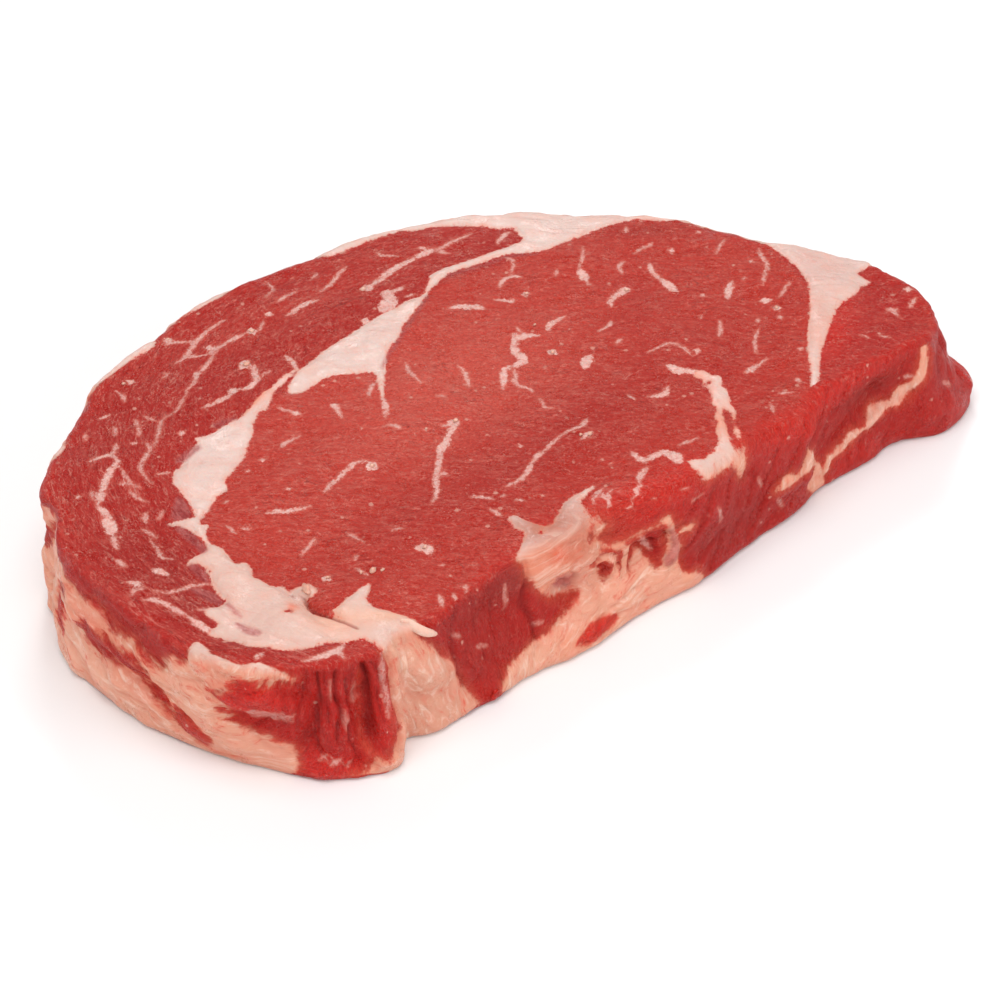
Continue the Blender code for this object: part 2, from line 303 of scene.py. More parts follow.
def point_normals(points, faces):
    """Unit normals: each face's area vector, from its diagonals, is added to its corners."""
    cross = np.cross(points[faces[:, 2]] - points[faces[:, 0]], points[faces[:, 3]] - points[faces[:, 1]])
    total = np.zeros((len(points), 3))
    for axis in range(3):
        for corner in range(4):
            total[:, axis] += np.bincount(faces[:, corner], cross[:, axis], len(points))
    return total / np.linalg.norm(total, axis=1)[:, None]


points, faces, along, share, wall, around = slice_form()


# The slice's muscles, fat and membranes. The red muscles are parted by seams of pale fat, veined with
# marbling, and wrapped in thin violet membranes; all of it grew as one. Each is an outline or a line
# drawn on the cut face or on the wall, and the distance to it is kept at every point of the slice.

FACE_FAT = (
    # the upper seam: the broad triangle at the back right, and the thin band that leads to it
    ((14, 38), (20, 38.7), (25, 38.3), (30, 37.7), (35.4, 37.6), (38.3, 38), (39, 40.5), (39.2, 43),
     (36.7, 44.9), (34.1, 47.5), (30.3, 50.4), (25.1, 53.6), (20, 55), (18, 62), (35, 62), (72, 36),
     (74, 26), (69, 26.2), (66.7, 28), (65.2, 29.9), (63.6, 31.5), (58.5, 31.8), (52, 32.1),
     (45.6, 31.8), (39.9, 31.8), (37.9, 32.5), (34.1, 34.4), (30.3, 35.4), (25.1, 36.1), (20, 36.5),
     (14, 35.4)),
    # the first lens of the seam, with the branch that runs down from it
    ((15.1, 38), (11.9, 35.9), (10, 34), (7.4, 33), (4.9, 32.9), (1, 32.3), (-2.2, 32.2), (-5.4, 31.3),
     (-9.9, 30.3), (-15, 29), (-20.1, 27.7), (-24.6, 25.8), (-27.8, 24.8), (-31, 22.5), (-33.7, 19.8),
     (-32.3, 18.4), (-28.5, 18.8), (-24.6, 19.4), (-21.4, 18.4), (-18.2, 17.1), (-15.3, 15.9),
     (-16.5, 13), (-18.3, 9.6), (-19.7, 6.9), (-18.9, 7), (-17, 9.6), (-14.8, 12.6), (-12.5, 15.6),
     (-10.5, 18.3), (-8, 20.7), (-4.1, 22.9), (-1.5, 25.5), (1, 27.1), (4.9, 29.3), (8.7, 31.9),
     (11.3, 33.8), (15, 35.5)),
    # the two strands between the lenses
    ((-40, 21), (-36, 22.7), (-32, 24.5), (-27.5, 25.6), (-29, 24.5), (-32, 22.9), (-35.5, 21.4),
     (-38.5, 19.5), (-41, 19)),
    # the second lens
    ((-37.5, 22.4), (-42.3, 19.7), (-45.5, 17.9), (-50, 17.1), (-55.1, 16.2), (-57.7, 16.6),
     (-58.2, 14.9), (-61.5, 13.3), (-64.7, 11), (-66.7, 10.1), (-68.4, 7.5), (-68.9, 4.3), (-69.3, 0),
     (-70.2, -2.5), (-70.9, -4.7), (-74, -4), (-76.5, -3), (-76, -4.3), (-74.9, -6), (-74.1, -9),
     (-74, -13), (-74.6, -15.8), (-73, -15.8), (-72.8, -11.8), (-71, -9.3), (-70, -8.6), (-71.5, -7.6),
     (-69.9, -5.6), (-67.3, -3.9), (-64.1, -1.6), (-60.9, -0.6), (-59.9, 1.7), (-55.1, 4.9),
     (-51.9, 7), (-50, 9.1), (-46.8, 12), (-44.9, 14.9), (-42.3, 17.1), (-39.7, 17.9), (-36.5, 20.8)),
    # the lower seam, down to the front corner
    ((-74.2, -14.3), (-75.4, -15.6), (-78.5, -15.5), (-80.4, -16.4), (-79.2, -17), (-78.1, -18.5),
     (-78.2, -21), (-78.9, -23), (-79.4, -25), (-79.9, -27.5), (-79.5, -29), (-81.5, -29.3),
     (-84.4, -29.5), (-84.9, -31.5), (-84.7, -34), (-86.8, -34.6), (-87.2, -35.6), (-85.9, -37.7),
     (-84.6, -40.3), (-83.3, -43.2), (-80.8, -45.3), (-78.8, -47.7), (-75, -49.6), (-71.8, -50.4),
     (-68.6, -51.6), (-64.5, -53), (-63.5, -57), (-63.5, -62), (-53, -62), (-53.3, -57), (-53.6, -54),
     (-54.2, -52.2), (-55.8, -49.6), (-57.6, -47.7), (-58.3, -44.6), (-55.3, -41.5), (-55.8, -40.6),
     (-60.3, -41.8), (-62.8, -42.6), (-65.6, -43.4), (-65.2, -46), (-66.9, -42.6), (-67.7, -40),
     (-67, -36.5), (-66.3, -36.6), (-64.9, -37.3), (-63.9, -35.6), (-64.2, -33.7), (-66.6, -32.7),
     (-67.9, -32.6), (-68.6, -31), (-70.2, -30.1), (-70.5, -28.5), (-71.5, -25.9), (-70.3, -24),
     (-70.3, -21.6), (-72.3, -21.2), (-72, -18.2), (-72.4, -15.6), (-72.8, -14.3)),
    # the lip of the left-hand fat that shows from above
    ((-100, -41), (-93, -36.5), (-90, -35.5), (-89.5, -38), (-90.3, -42), (-90, -46), (-88.3, -48.3),
     (-84.6, -48.2), (-84.3, -50), (-84.5, -53), (-86, -56), (-100, -56)),
    # the right-hand seam, with its triangle on the edge
    ((80.6, 7), (79.9, -0.4), (79.6, -4.9), (78.3, -8.7), (76.4, -11.9), (73.8, -15.1), (70.6, -19),
     (67.4, -22.2), (64.2, -26), (61, -29.9), (58.5, -33.7), (55.3, -37.6), (52.7, -40.8), (50.5, -44),
     (49, -47), (51, -47), (53.3, -42.7), (55.3, -39.8), (57.8, -37.6), (61.7, -33.1), (64.2, -30.5),
     (67.4, -27.9), (70.6, -25.4), (74.5, -22.2), (77.7, -19.9), (81.5, -18.8), (84.5, -18.2),
     (86.7, -16.7), (89.6, -16.3), (89.2, -13.2), (89.9, -12.2), (94, -11.9), (99, -12), (95, 0), (84, 9)),
    # the fat knob on the front edge
    ((-22.6, -40), (-21, -40.2), (-20, -43.5), (-17.4, -46.1), (-14.2, -44.5), (-10.4, -41.6),
     (-6.5, -40.3), (-1.4, -39.7), (-3, -41.2), (-6.5, -42.6), (-9.1, -45.5), (-10.4, -48), (-9.5, -54),
     (-27.7, -54), (-26, -49), (-22.8, -46), (-23.3, -43.5)),
    # the broad streak behind the torn shoulder, and the patch beside it
    ((37.2, -22.6), (37.9, -24.6), (36.6, -26), (36.9, -28), (35.8, -30), (34.6, -31.4), (34, -33.9),
     (32, -35.6), (31, -37.8), (28.8, -40), (27.4, -42.6), (25, -44.5), (23.4, -47.4), (22, -50), (32, -50),
     (32.2, -45), (33.2, -43.4), (33.5, -40.5), (36, -37.5), (37.6, -35.4), (38.2, -33), (39.8, -30.5),
     (39.6, -28.6), (41, -27), (41.4, -25.2), (40.2, -24.4), (39.9, -22.4), (38.6, -21.4)),
    ((17.5, -45.5), (19, -45), (21, -46.5), (24, -45), (25, -49), (18, -49)),
    # thin rims of the back fat that reach the upper edge
    ((0.5, 57.3), (3, 56.3), (8, 56.2), (14, 56.2), (19, 55.9), (20, 62), (0, 62)),
    ((-38, 55), (-33, 55.5), (-27, 56.3), (-24, 57.5), (-24, 62), (-40, 60)),
    ((-62, 44.6), (-57, 46.3), (-52, 47.6), (-47, 49), (-46, 53), (-60, 52), (-66, 46)),
    ((-82.5, 28), (-80.5, 28.8), (-78.8, 31.2), (-79, 34), (-82, 34)),
)

# Lean that shows through that fat.
FACE_LEAN = (
    ((35.6, -34), (36, -35.6), (34.4, -38.6), (32.6, -41), (31, -43.6), (29.8, -50), (26.4, -50),
     (28.4, -45), (30.4, -42), (32, -39), (34, -35.8)),
    ((38.4, -25.2), (38.9, -25.9), (38, -26.6), (37.4, -25.9)),
    ((-14.5, -50), (-12, -47.6), (-9.5, -46.6), (-8, -50)), ((-20.5, -47), (-19.6, -46.4), (-19.2, -47.4)),
    ((-78.5, -19), (-77.5, -20.2), (-78.2, -21)), ((-72.8, -38.6), (-71.2, -38.4), (-71.6, -39.8)),
)

# Marbling on the face: the width at the thickest place, then the line's points.
FACE_VEINS = (
    # the eye, left part
    (0.9, (-59, -11.8), (-57, -12), (-55.1, -13.1), (-51, -14.4)),
    (0.8, (-46.5, -12.8), (-43.6, -10.8), (-39.7, -9.2), (-36, -7.7), (-33.5, -8.3)),
    (1.9, (-34.9, -10.9), (-32.8, -10.1)),
    (0.4, (-60.3, -25.3), (-57.7, -24), (-55.4, -22.7)), (0.4, (-67.3, -10.5), (-67, -13.1)),
    (0.35, (-65.4, -12.4), (-64.1, -13.7)), (1.5, (-61.2, -34.9), (-60.2, -34.7)),
    (0.35, (-49.4, -24.6), (-48.7, -29.7)), (0.35, (-52.9, -33), (-51.9, -31.7)),
    (1.0, (-54.7, 2.2), (-54.1, 2.6)), (0.9, (-50.5, 3.9), (-49.7, 3.6)), (0.9, (-51.9, -7.9), (-51.2, -8)),
    (0.8, (-63.7, -3.8), (-63.1, -4)), (0.4, (-42.3, -29.7), (-40.9, -29.6), (-40, -30.4)),
    (2.0, (-41.4, -36.6), (-39.8, -37.4), (-40.2, -38.5)), (0.7, (-40.3, -42.8), (-39.7, -43)),
    (0.4, (-54.2, -34.9), (-53.8, -38)), (0.6, (-44.9, 5), (-43, 6.1), (-39.6, 6.6)),
    (1.2, (-36.9, 13.6), (-35.8, 12.4)), (0.4, (-38, 16.7), (-36.7, 13.5)),
    (0.6, (-28.3, 11.3), (-29, 8.4), (-29.6, 6.1)), (1.5, (-28.9, 10.9), (-27.7, 10.9)),
    (0.6, (-24.5, -1.2), (-22.9, -2.5), (-22.6, -4.1)),
    # the branch below the first lens, and the long vein under it
    (0.8, (-19.2, 7.4), (-21, 3.3), (-22.9, 0.7)), (0.45, (-17, 12.9), (-19.4, 11), (-21.3, 9)),
    (0.5, (-8.1, 14.8), (-9.7, 11), (-10.1, 6.5)), (0.6, (-0.1, 7.7), (-0.5, 4.5), (-2.7, 0.4)),
    (0.4, (-10, 1.3), (-9.1, -0.3)),
    (0.8, (-31, -27), (-28, -24.3), (-25.8, -20.8), (-22.6, -17.3), (-19.6, -13.9)),
    (1.5, (-20.6, -14.4), (-18.6, -13), (-16, -11.2)), (1.0, (-17.2, -11.8), (-14, -9.6), (-12, -8.2)),
    (1.9, (-13, -8.6), (-11.3, -7.4)), (0.5, (-15, -7.6), (-13, -8)), (0.6, (-24.2, -20.2), (-23.2, -20.9)),
    (0.5, (-18.8, -7), (-18, -7)),
    # the knotted vein in the middle, with its branches
    (1.2, (2.4, -4.4), (4.4, -1.9), (6.3, 0.4), (8.9, 1)),
    (1.5, (8, 0.7), (11.4, 1), (12.1, 4.5), (13.2, 7)),
    (1.3, (12.6, 6), (14.4, 7.8), (16.5, 7.6), (19.1, 6.1)), (0.5, (14.6, 8), (15.2, 9.8)),
    (0.4, (16.5, 8.6), (17.3, 11)), (0.6, (8.2, 0.1), (6.9, -2.5), (5.6, -4.4), (6.9, -7.6), (6.3, -8.9)),
    (0.4, (6.3, -11.5), (5.3, -14.7), (6.3, -16)), (1.9, (17.3, -0.3), (18.7, 0.2)),
    # the near middle
    (0.7, (-23.8, -29.8), (-22.6, -31), (-21, -33.3)), (0.5, (-19.4, -33.3), (-18.1, -33.3)),
    (0.5, (-17.4, -35.2), (-15.8, -36.5)),
    (0.7, (-16.5, -31.4), (-12.9, -31), (-10.1, -29.8), (-7.2, -27.5)),
    (0.8, (-8, -28.1), (-4.6, -26.2), (-3.3, -25.9)), (0.5, (-3.5, -26), (0.2, -24.6), (3.7, -24)),
    (0.7, (3.2, -24.1), (7.6, -24), (9.6, -22.6)), (1.1, (5, -27.5), (7.6, -26.9)),
    (0.9, (-6.5, -21.7), (-5.9, -21.9)), (0.6, (-23.2, -35.8), (-22.9, -38.4)),
    (1.0, (10.8, -35.8), (10.8, -39), (12, -39.7)), (1.2, (11, -39.5), (15.3, -39.7), (16.5, -41.6)),
    (1.9, (16, -40.6), (16.6, -42.4), (16.2, -44.2)), (0.4, (19.7, -39.7), (25, -39.4)),
    (0.9, (10.2, -41.6), (7.6, -42.9), (5.4, -45)), (0.9, (5.8, -45.6), (3.4, -46.8), (1.6, -49)),
    (0.8, (-1.2, -42.2), (-3.6, -43.2), (-5.6, -44.8)), (0.7, (0, -43.5), (-2, -45), (-3, -47)),
    # the eye, right part
    (0.8, (23.8, 26.4), (26.4, 28.3), (29, 28.6)), (0.9, (28, 28.8), (29.6, 26.7)),
    (0.5, (29.2, 29.6), (31.9, 32.4), (31.2, 34.4)), (0.9, (20, 22.8), (21.9, 20.9), (23.4, 20.7)),
    (1.6, (26.3, 21.1), (27.2, 20.7)), (1.2, (10.5, 25.5), (12.8, 24.6), (15, 22.8), (15.9, 20.9)),
    (1.5, (12.6, 24.6), (14.8, 23.2)), (1.5, (41.2, 21.6), (40.6, 19.2), (39.9, 18)),
    (0.4, (41.3, 21.8), (44.4, 24.7), (46.9, 27.9)), (0.4, (39.8, 17.6), (39.5, 15.6)),
    (0.5, (36, 22.8), (37.3, 24.1)), (0.5, (47.6, 15.1), (48.8, 17.7), (50.8, 18.7)),
    (0.9, (54.8, 14.8), (53.4, 11.9), (53.3, 8.7)), (1.5, (53.3, 9), (53.1, 6), (53, 3.4)),
    (0.4, (54.6, 19.9), (57.8, 20.6), (60.4, 21.2)), (1.0, (61.9, 16.7), (62.7, 17.3)),
    (0.9, (71, 18.9), (71.8, 19.2)), (0.9, (38.6, 7), (39.6, 8.6), (42, 9.2)),
    (1.5, (41.4, 9.1), (43.6, 9.7), (45.2, 9.6)), (0.9, (21.9, 6.6), (23, 7.9), (25, 8.6), (28, 9)),
    (0.6, (30.3, 0.4), (33, 0.8), (34.9, 2.2)), (1.7, (20.2, -8.2), (21.9, -6.4), (23.8, -5.2)),
    (0.4, (30.6, -5), (32.2, -4.6)), (1.1, (60.2, -4.8), (62.2, -2.6), (64.9, -0.4)),
    (0.6, (69.3, -5.2), (72.6, -2.2), (75.1, 0.4), (76.4, 4), (77.6, 6)),
    (0.4, (68.7, 9.7), (71.3, 11.6), (73.8, 13.2)),
    (0.5, (58.3, 27.6), (59.8, 29.4)), (0.9, (56, -1.2), (57, -0.8)), (0.8, (72.5, 2.8), (73.3, 3.4)),
    (0.7, (67.2, -1.4), (67.8, -1)), (0.5, (50.9, -7.4), (51.7, -6.6)), (1.4, (65.6, -9.2), (67.4, -10)),
    (1.7, (66.1, -13.4), (67.1, -12.8)), (0.8, (65.2, -15.5), (64.9, -16.7)),
    (0.4, (69.4, -10.6), (74.8, -7.4)),
    (1.9, (34.4, -17.4), (35.4, -19.2), (37.2, -20.4)), (1.3, (36.4, -19.8), (37.8, -21.4), (38.6, -23)),
    (0.5, (34.1, -11.3), (39.2, -11.3), (40.5, -13.8), (40.8, -17)), (1.1, (42.1, -17.2), (42.9, -16.6)),
    (0.6, (49.9, -14.8), (52, -12.6), (53.7, -10.3)), (0.45, (52.4, -23.8), (54.9, -20.3), (58.5, -17)),
    (0.6, (60.1, -14.8), (60.9, -14)), (0.6, (46.6, -27.5), (49.5, -27), (53.3, -26.3)),
    (1.1, (47.4, -27.5), (48.6, -27.2)), (0.9, (60.5, -27.8), (61.7, -27.3)),
    (0.7, (54, -34.8), (53.6, -36.4)),
    (1.0, (25.1, -22.8), (26.7, -23.6), (28.3, -24), (30.3, -22.6)), (0.7, (21.9, -20.6), (21.7, -22.4)),
    (0.5, (48.2, -36.6), (50.4, -38.2)), (0.35, (44.2, -38.4), (42.4, -42)),
    # the cap, back stretch
    (2.2, (-0.4, 42), (1.7, 41.6)), (1.1, (0.5, 41.7), (4.9, 42.8), (8.7, 44.1), (13.2, 45), (16.4, 45.2)),
    (1.2, (15, 45.1), (18, 45.2), (20.8, 45.6)), (0.6, (18, 47.6), (19.3, 46.3)),
    (0.5, (20.6, 44.4), (22.5, 42.8)),
    (0.6, (20.3, 45), (24.7, 45.7), (30.9, 46.4)), (0.8, (33.1, 39.8), (35.4, 41.4), (37.9, 42.1)),
    (2.6, (-1.6, 33.2), (1.2, 34.4), (3, 35.8)), (1.8, (2, 35), (2.6, 37.4), (4.2, 37.4)),
    (0.7, (3.4, 37.4), (7.2, 37.5)), (1.7, (-7, 32.2), (-6, 31.2)), (0.5, (5.2, 34.4), (7.4, 34.1)),
    (0.7, (-8, 46.3), (-4.8, 47.6), (-1.5, 49.5), (1.7, 51.1)),
    (0.9, (-18.8, 42.6), (-15, 43.7), (-12.5, 44.1), (-10.5, 43.7)),
    (0.5, (-18.2, 47.6), (-15, 48.5), (-12.4, 48.9)),
    (0.4, (-18.8, 50.8), (-16.3, 52.1), (-15.3, 53.3), (-15.3, 56.2)),
    (0.35, (-6.7, 51.4), (-4.8, 52.7)), (0.5, (10, 51.7), (10.3, 49.8), (12.6, 47.9)),
    (2.3, (-28.4, 42.2), (-27.2, 41.9)), (1.7, (-22.2, 44.8), (-21.2, 45.2)),
    (0.4, (-26.4, 41.4), (-24, 43.4)),
    (0.7, (-40, 40.5), (-36.2, 41.5), (-31.7, 42.1), (-29.5, 42.4)),
    (0.9, (-26.9, 30.6), (-27.2, 28), (-27.8, 25.4)),
    (2.1, (-37.2, 31.4), (-34.8, 32.8)),
    # the cap, left back
    (0.7, (-30, 48.9), (-34, 48), (-37.2, 46.8), (-39.1, 45.8), (-42.3, 43.4), (-44.2, 42.1),
     (-46.8, 41.2)),
    (0.6, (-39.4, 46.6), (-42.3, 47.9), (-44.9, 48.2)), (0.8, (-39.8, 40.6), (-42.3, 41.5), (-44.5, 41.8)),
    (0.6, (-37.5, 40.5), (-42.3, 36.7), (-45.5, 35.1), (-47.4, 32.8), (-50.6, 31.2)),
    (0.35, (-49.7, 39.2), (-51.9, 38)),
    (1.0, (-34.3, 30.6), (-35.9, 28.7), (-36.5, 26.7), (-39.7, 24.8), (-42, 25.2)),
    (1.6, (-43.6, 25.7), (-42.4, 25.5)),
    (0.8, (-51.3, 23.7), (-47.4, 23.5), (-43.6, 24.4)), (0.35, (-50.4, 30.6), (-55.1, 27.1), (-58.3, 26.1)),
    (0.4, (-35.3, 27.1), (-32.7, 27.4)), (1.8, (-38.3, 42.7), (-37.4, 43)),
    (0.8, (-78.8, 21.8), (-76.4, 21.7), (-74.4, 21.2), (-73.9, 19.4)),
    (1.0, (-74, 20), (-74.4, 18.2), (-76.9, 16.5), (-80.1, 13.9), (-82.7, 10.7), (-84.6, 8.8)),
    (0.5, (-71.2, 24.2), (-72.4, 22.3), (-74.2, 21)),
    (0.5, (-66, 21), (-66.7, 19), (-69.2, 16.5), (-71.8, 13.9), (-72.4, 8.8)),
    (0.35, (-58.3, 26.1), (-60.3, 24.8), (-63.5, 21), (-66, 18.5)),
    (0.35, (-63.5, 29.6), (-64.7, 26.1), (-66, 24.2)),
    (0.35, (-61.5, 29.3), (-60.9, 26.1)), (0.4, (-61.5, 40.2), (-61.2, 38.3), (-62.2, 35.7)),
    (0.7, (-69.2, 33.8), (-66.7, 34.4)), (0.45, (-75.1, 29.2), (-74.3, 30.6)),
    (0.35, (-68, 30), (-69.9, 26.7)),
    (1.7, (-57.9, 41.1), (-56.9, 41.7)), (1.3, (-44.2, 49.4), (-43, 49.6)),
    (1.2, (-59.5, 18.8), (-58.5, 19.4)),
    (0.9, (-68.6, 22), (-68, 22.6)), (0.8, (-86.5, 12.8), (-85.9, 13.2)), (0.5, (-69.9, 11), (-67.3, 10.4)),
    (0.4, (-83.3, 13.3), (-84.3, 10.7)), (0.4, (-76.9, 9.5), (-76.9, 7.5), (-75.8, 4.7)),
    (0.35, (-77.6, 12.6), (-75.6, 10.7)), (0.35, (-74.8, 16), (-75.6, 12.4), (-75, 9)),
    # the cap, left end
    (1.0, (-84.7, 9), (-84.4, 6), (-85, 4)), (2.0, (-84.6, 5.8), (-85.6, 2.4), (-86.4, 0.6)),
    (0.6, (-86.2, 1), (-87.4, -2), (-88.2, -4.6)), (0.5, (-90, -7.3), (-89.7, -10)),
    (0.5, (-81.4, -5.4), (-82.4, -10.5), (-83, -12.4), (-81.4, -13.7)), (0.4, (-80.8, -1.5), (-80.1, -5.4)),
    (0.4, (-79.4, 0.6), (-77.6, 2.3)), (0.4, (-76.9, -1.1), (-75.1, 0.6)),
    (0.5, (-79.2, -0.4), (-78.4, 1.4)),
    (1.1, (-91.7, -14.4), (-90.4, -17)), (0.5, (-93.9, -18.2), (-92, -17.6), (-90.2, -18.2)),
    (1.2, (-86.2, -14.4), (-85.2, -17.4)),
    (0.7, (-92.3, -20.8), (-90.4, -22), (-88.8, -25.9), (-87.8, -29.7)),
    (1.0, (-87.9, -29.4), (-87.2, -33), (-86.6, -35)),
    (0.5, (-89.4, -19.8), (-87.2, -21.7), (-85.3, -22.1), (-81.4, -22.1), (-79.4, -23.3)),
    (0.4, (-85.4, -28.6), (-82.7, -29.7)), (1.0, (-77.6, -52.2), (-74, -53.2), (-70.6, -53), (-68.4, -52)),
    (0.7, (-84.6, -47.2), (-82.6, -46.4)), (0.5, (-71, -55.6), (-70.4, -53.2)),
    # the tail
    (0.5, (86, -26), (86.6, -27.6), (86.3, -29.2)), (0.45, (86.5, -25.9), (87.9, -27)),
    (1.5, (93.4, -23.2), (94.2, -24)),
    (0.5, (93.1, -26.7), (90.5, -28)), (0.4, (74.6, -30.6), (75.6, -32.2)),
    (0.35, (78.2, -33), (79.4, -34.4)),
    # the torn front edge
    (0.6, (-47.4, -53.6), (-46, -50.6)), (0.6, (-41.2, -53), (-39.8, -50.4)),
    (0.5, (-44, -53.4), (-43.4, -51.6)),
)

# Violet membranes on the face, as outlines.
FACE_FILMS = (
    ((-52.6, 18.6), (-49, 18.4), (-46.7, 18.1), (-47, 17.2), (-50, 17.1), (-52.4, 17.4)),
    ((-64.9, 12.4), (-62.5, 13.9), (-60, 14.4), (-58.2, 14.6), (-58.4, 12.7), (-60.6, 12), (-63, 11.4)),
    ((-70, 3), (-69.8, 0), (-70.9, -3), (-72, -4.6), (-74.3, -4.2), (-75, -2.5), (-73.5, -0.5),
     (-71.8, 1.5)),
    ((-75.4, -5.4), (-74.6, -7), (-74.2, -11), (-74.4, -14), (-75, -15.9), (-76.4, -15.8), (-76.3, -12),
     (-76.3, -8), (-76.2, -6)),
    ((-80, -16.4), (-79, -17), (-78.4, -19), (-78.7, -22), (-79.8, -22.6), (-80.4, -20), (-80.4, -17.5)),
    ((-83.2, -22.5), (-81.5, -23), (-80.2, -25), (-79.8, -27.5), (-80.2, -29.4), (-81.5, -28.5),
     (-82.8, -26), (-83.4, -24)),
    ((-80.3, -30), (-79.3, -30), (-79.4, -34.5), (-80.3, -34.6)),
    ((-81.8, -35.6), (-80.8, -35.8), (-80.1, -38), (-79.2, -40.5), (-80, -41.7), (-81.5, -41),
     (-82.2, -38)),
)
FACE_FILM_LINES = (
    (0.9, (-13, 16.3), (-9.6, 19), (-6, 21), (-2.5, 23.8), (0, 25.6), (4, 28), (7, 30.2), (9.6, 32.2)),
    (0.8, (17, 35.7), (22, 35.6), (26, 35.1), (30, 34.7), (34, 33.7), (37.5, 31.9)),
)
# The crack beside the lower seam, and the height under which nothing of it is left.
CRACK_LOWEST = 3.0
CRACK = ((-68.3, -33.6), (-66.9, -36), (-67.5, -39), (-66.8, -42.4), (-65.4, -46.5), (-64.1, -49.9))

# On the wall, as distance along the edge and share of the height: the fat, and the lean that shows
# through it.
WALL_COVER = (24.0, 331.5)
WALL_FAT = (
    ((333, 1.15), (334.4, 0.8), (334.8, 0.6), (334.2, 0.4), (334.8, 0.28), (333, 0.2), (331, 0.1),
     (330, -0.15), (336, -0.2), (342, -0.2), (348, -0.2), (353, -0.2), (356, -0.1), (355, 0.1),
     (353, 0.25), (351.5, 0.4), (350, 0.55), (348, 0.65), (345, 0.8), (343, 0.9), (341.5, 1.0),
     (340.5, 1.15), (337, 1.2)),
    ((371, 1.2), (371.5, 0.9), (372, 0.8), (374, 0.7), (375.5, 0.6), (377.5, 0.52), (380, 0.48),
     (385, 0.47), (384, 0.43), (381, 0.38), (379, 0.33), (375, 0.30), (371, 0.28), (367, 0.23),
     (364, 0.2), (362, 0.12), (361, 0.05), (360, -0.2), (418, -0.2), (416, 0.05), (414, 0.15),
     (411, 0.2), (410, 0.28), (409.5, 0.35), (410, 0.45), (409, 0.6), (407.5, 0.76), (404, 0.71),
     (396, 0.71), (391, 0.76), (391, 0.8), (394, 0.86), (395, 0.93), (394, 1.2)),
    ((417, 0.92), (420, 0.9), (423, 0.93), (425, 0.9), (427, 0.78), (428.5, 0.7), (429.5, 0.8),
     (429, 0.95), (430, 1.2), (417, 1.2)),
    ((409.5, 0.57), (412, 0.56), (413.2, 0.6), (411, 0.63)),
    ((438, 0.4), (440, 0.47), (442, 0.49), (444, 0.45), (446, 0.47), (447.5, 0.62), (449, 0.58),
     (452, 0.45), (455, 0.3), (456, 0.22), (457, 0), (455, 0.02), (452, 0.08), (450, 0.2), (454, 0.26),
     (452, 0.35), (449, 0.41), (445, 0.4), (441, 0.39), (439, 0.4)),
    ((456, 0.2), (458, 0.3), (462, 0.33), (465, 0.42), (468, 0.42), (471, 0.5), (474, 0.52),
     (477, 0.5), (478.5, 0.58), (481, 0.62), (483, 0.75), (484, 0.9), (484, 1), (485.5, 1),
     (485.5, 0.85), (484.5, 0.65), (482, 0.55), (479, 0.43), (476, 0.45), (474, 0.44), (470, 0.36),
     (467, 0.36), (463, 0.28), (459, 0.24), (457, 0.15), (455, 0.1)),
    ((5, 1.2), (8.5, 0.86), (6, 0.7), (11, 0.52), (14.5, 0.36), (9.5, 0.2), (11, -0.2), (30, -0.2),
     (30, 1.2)),
)
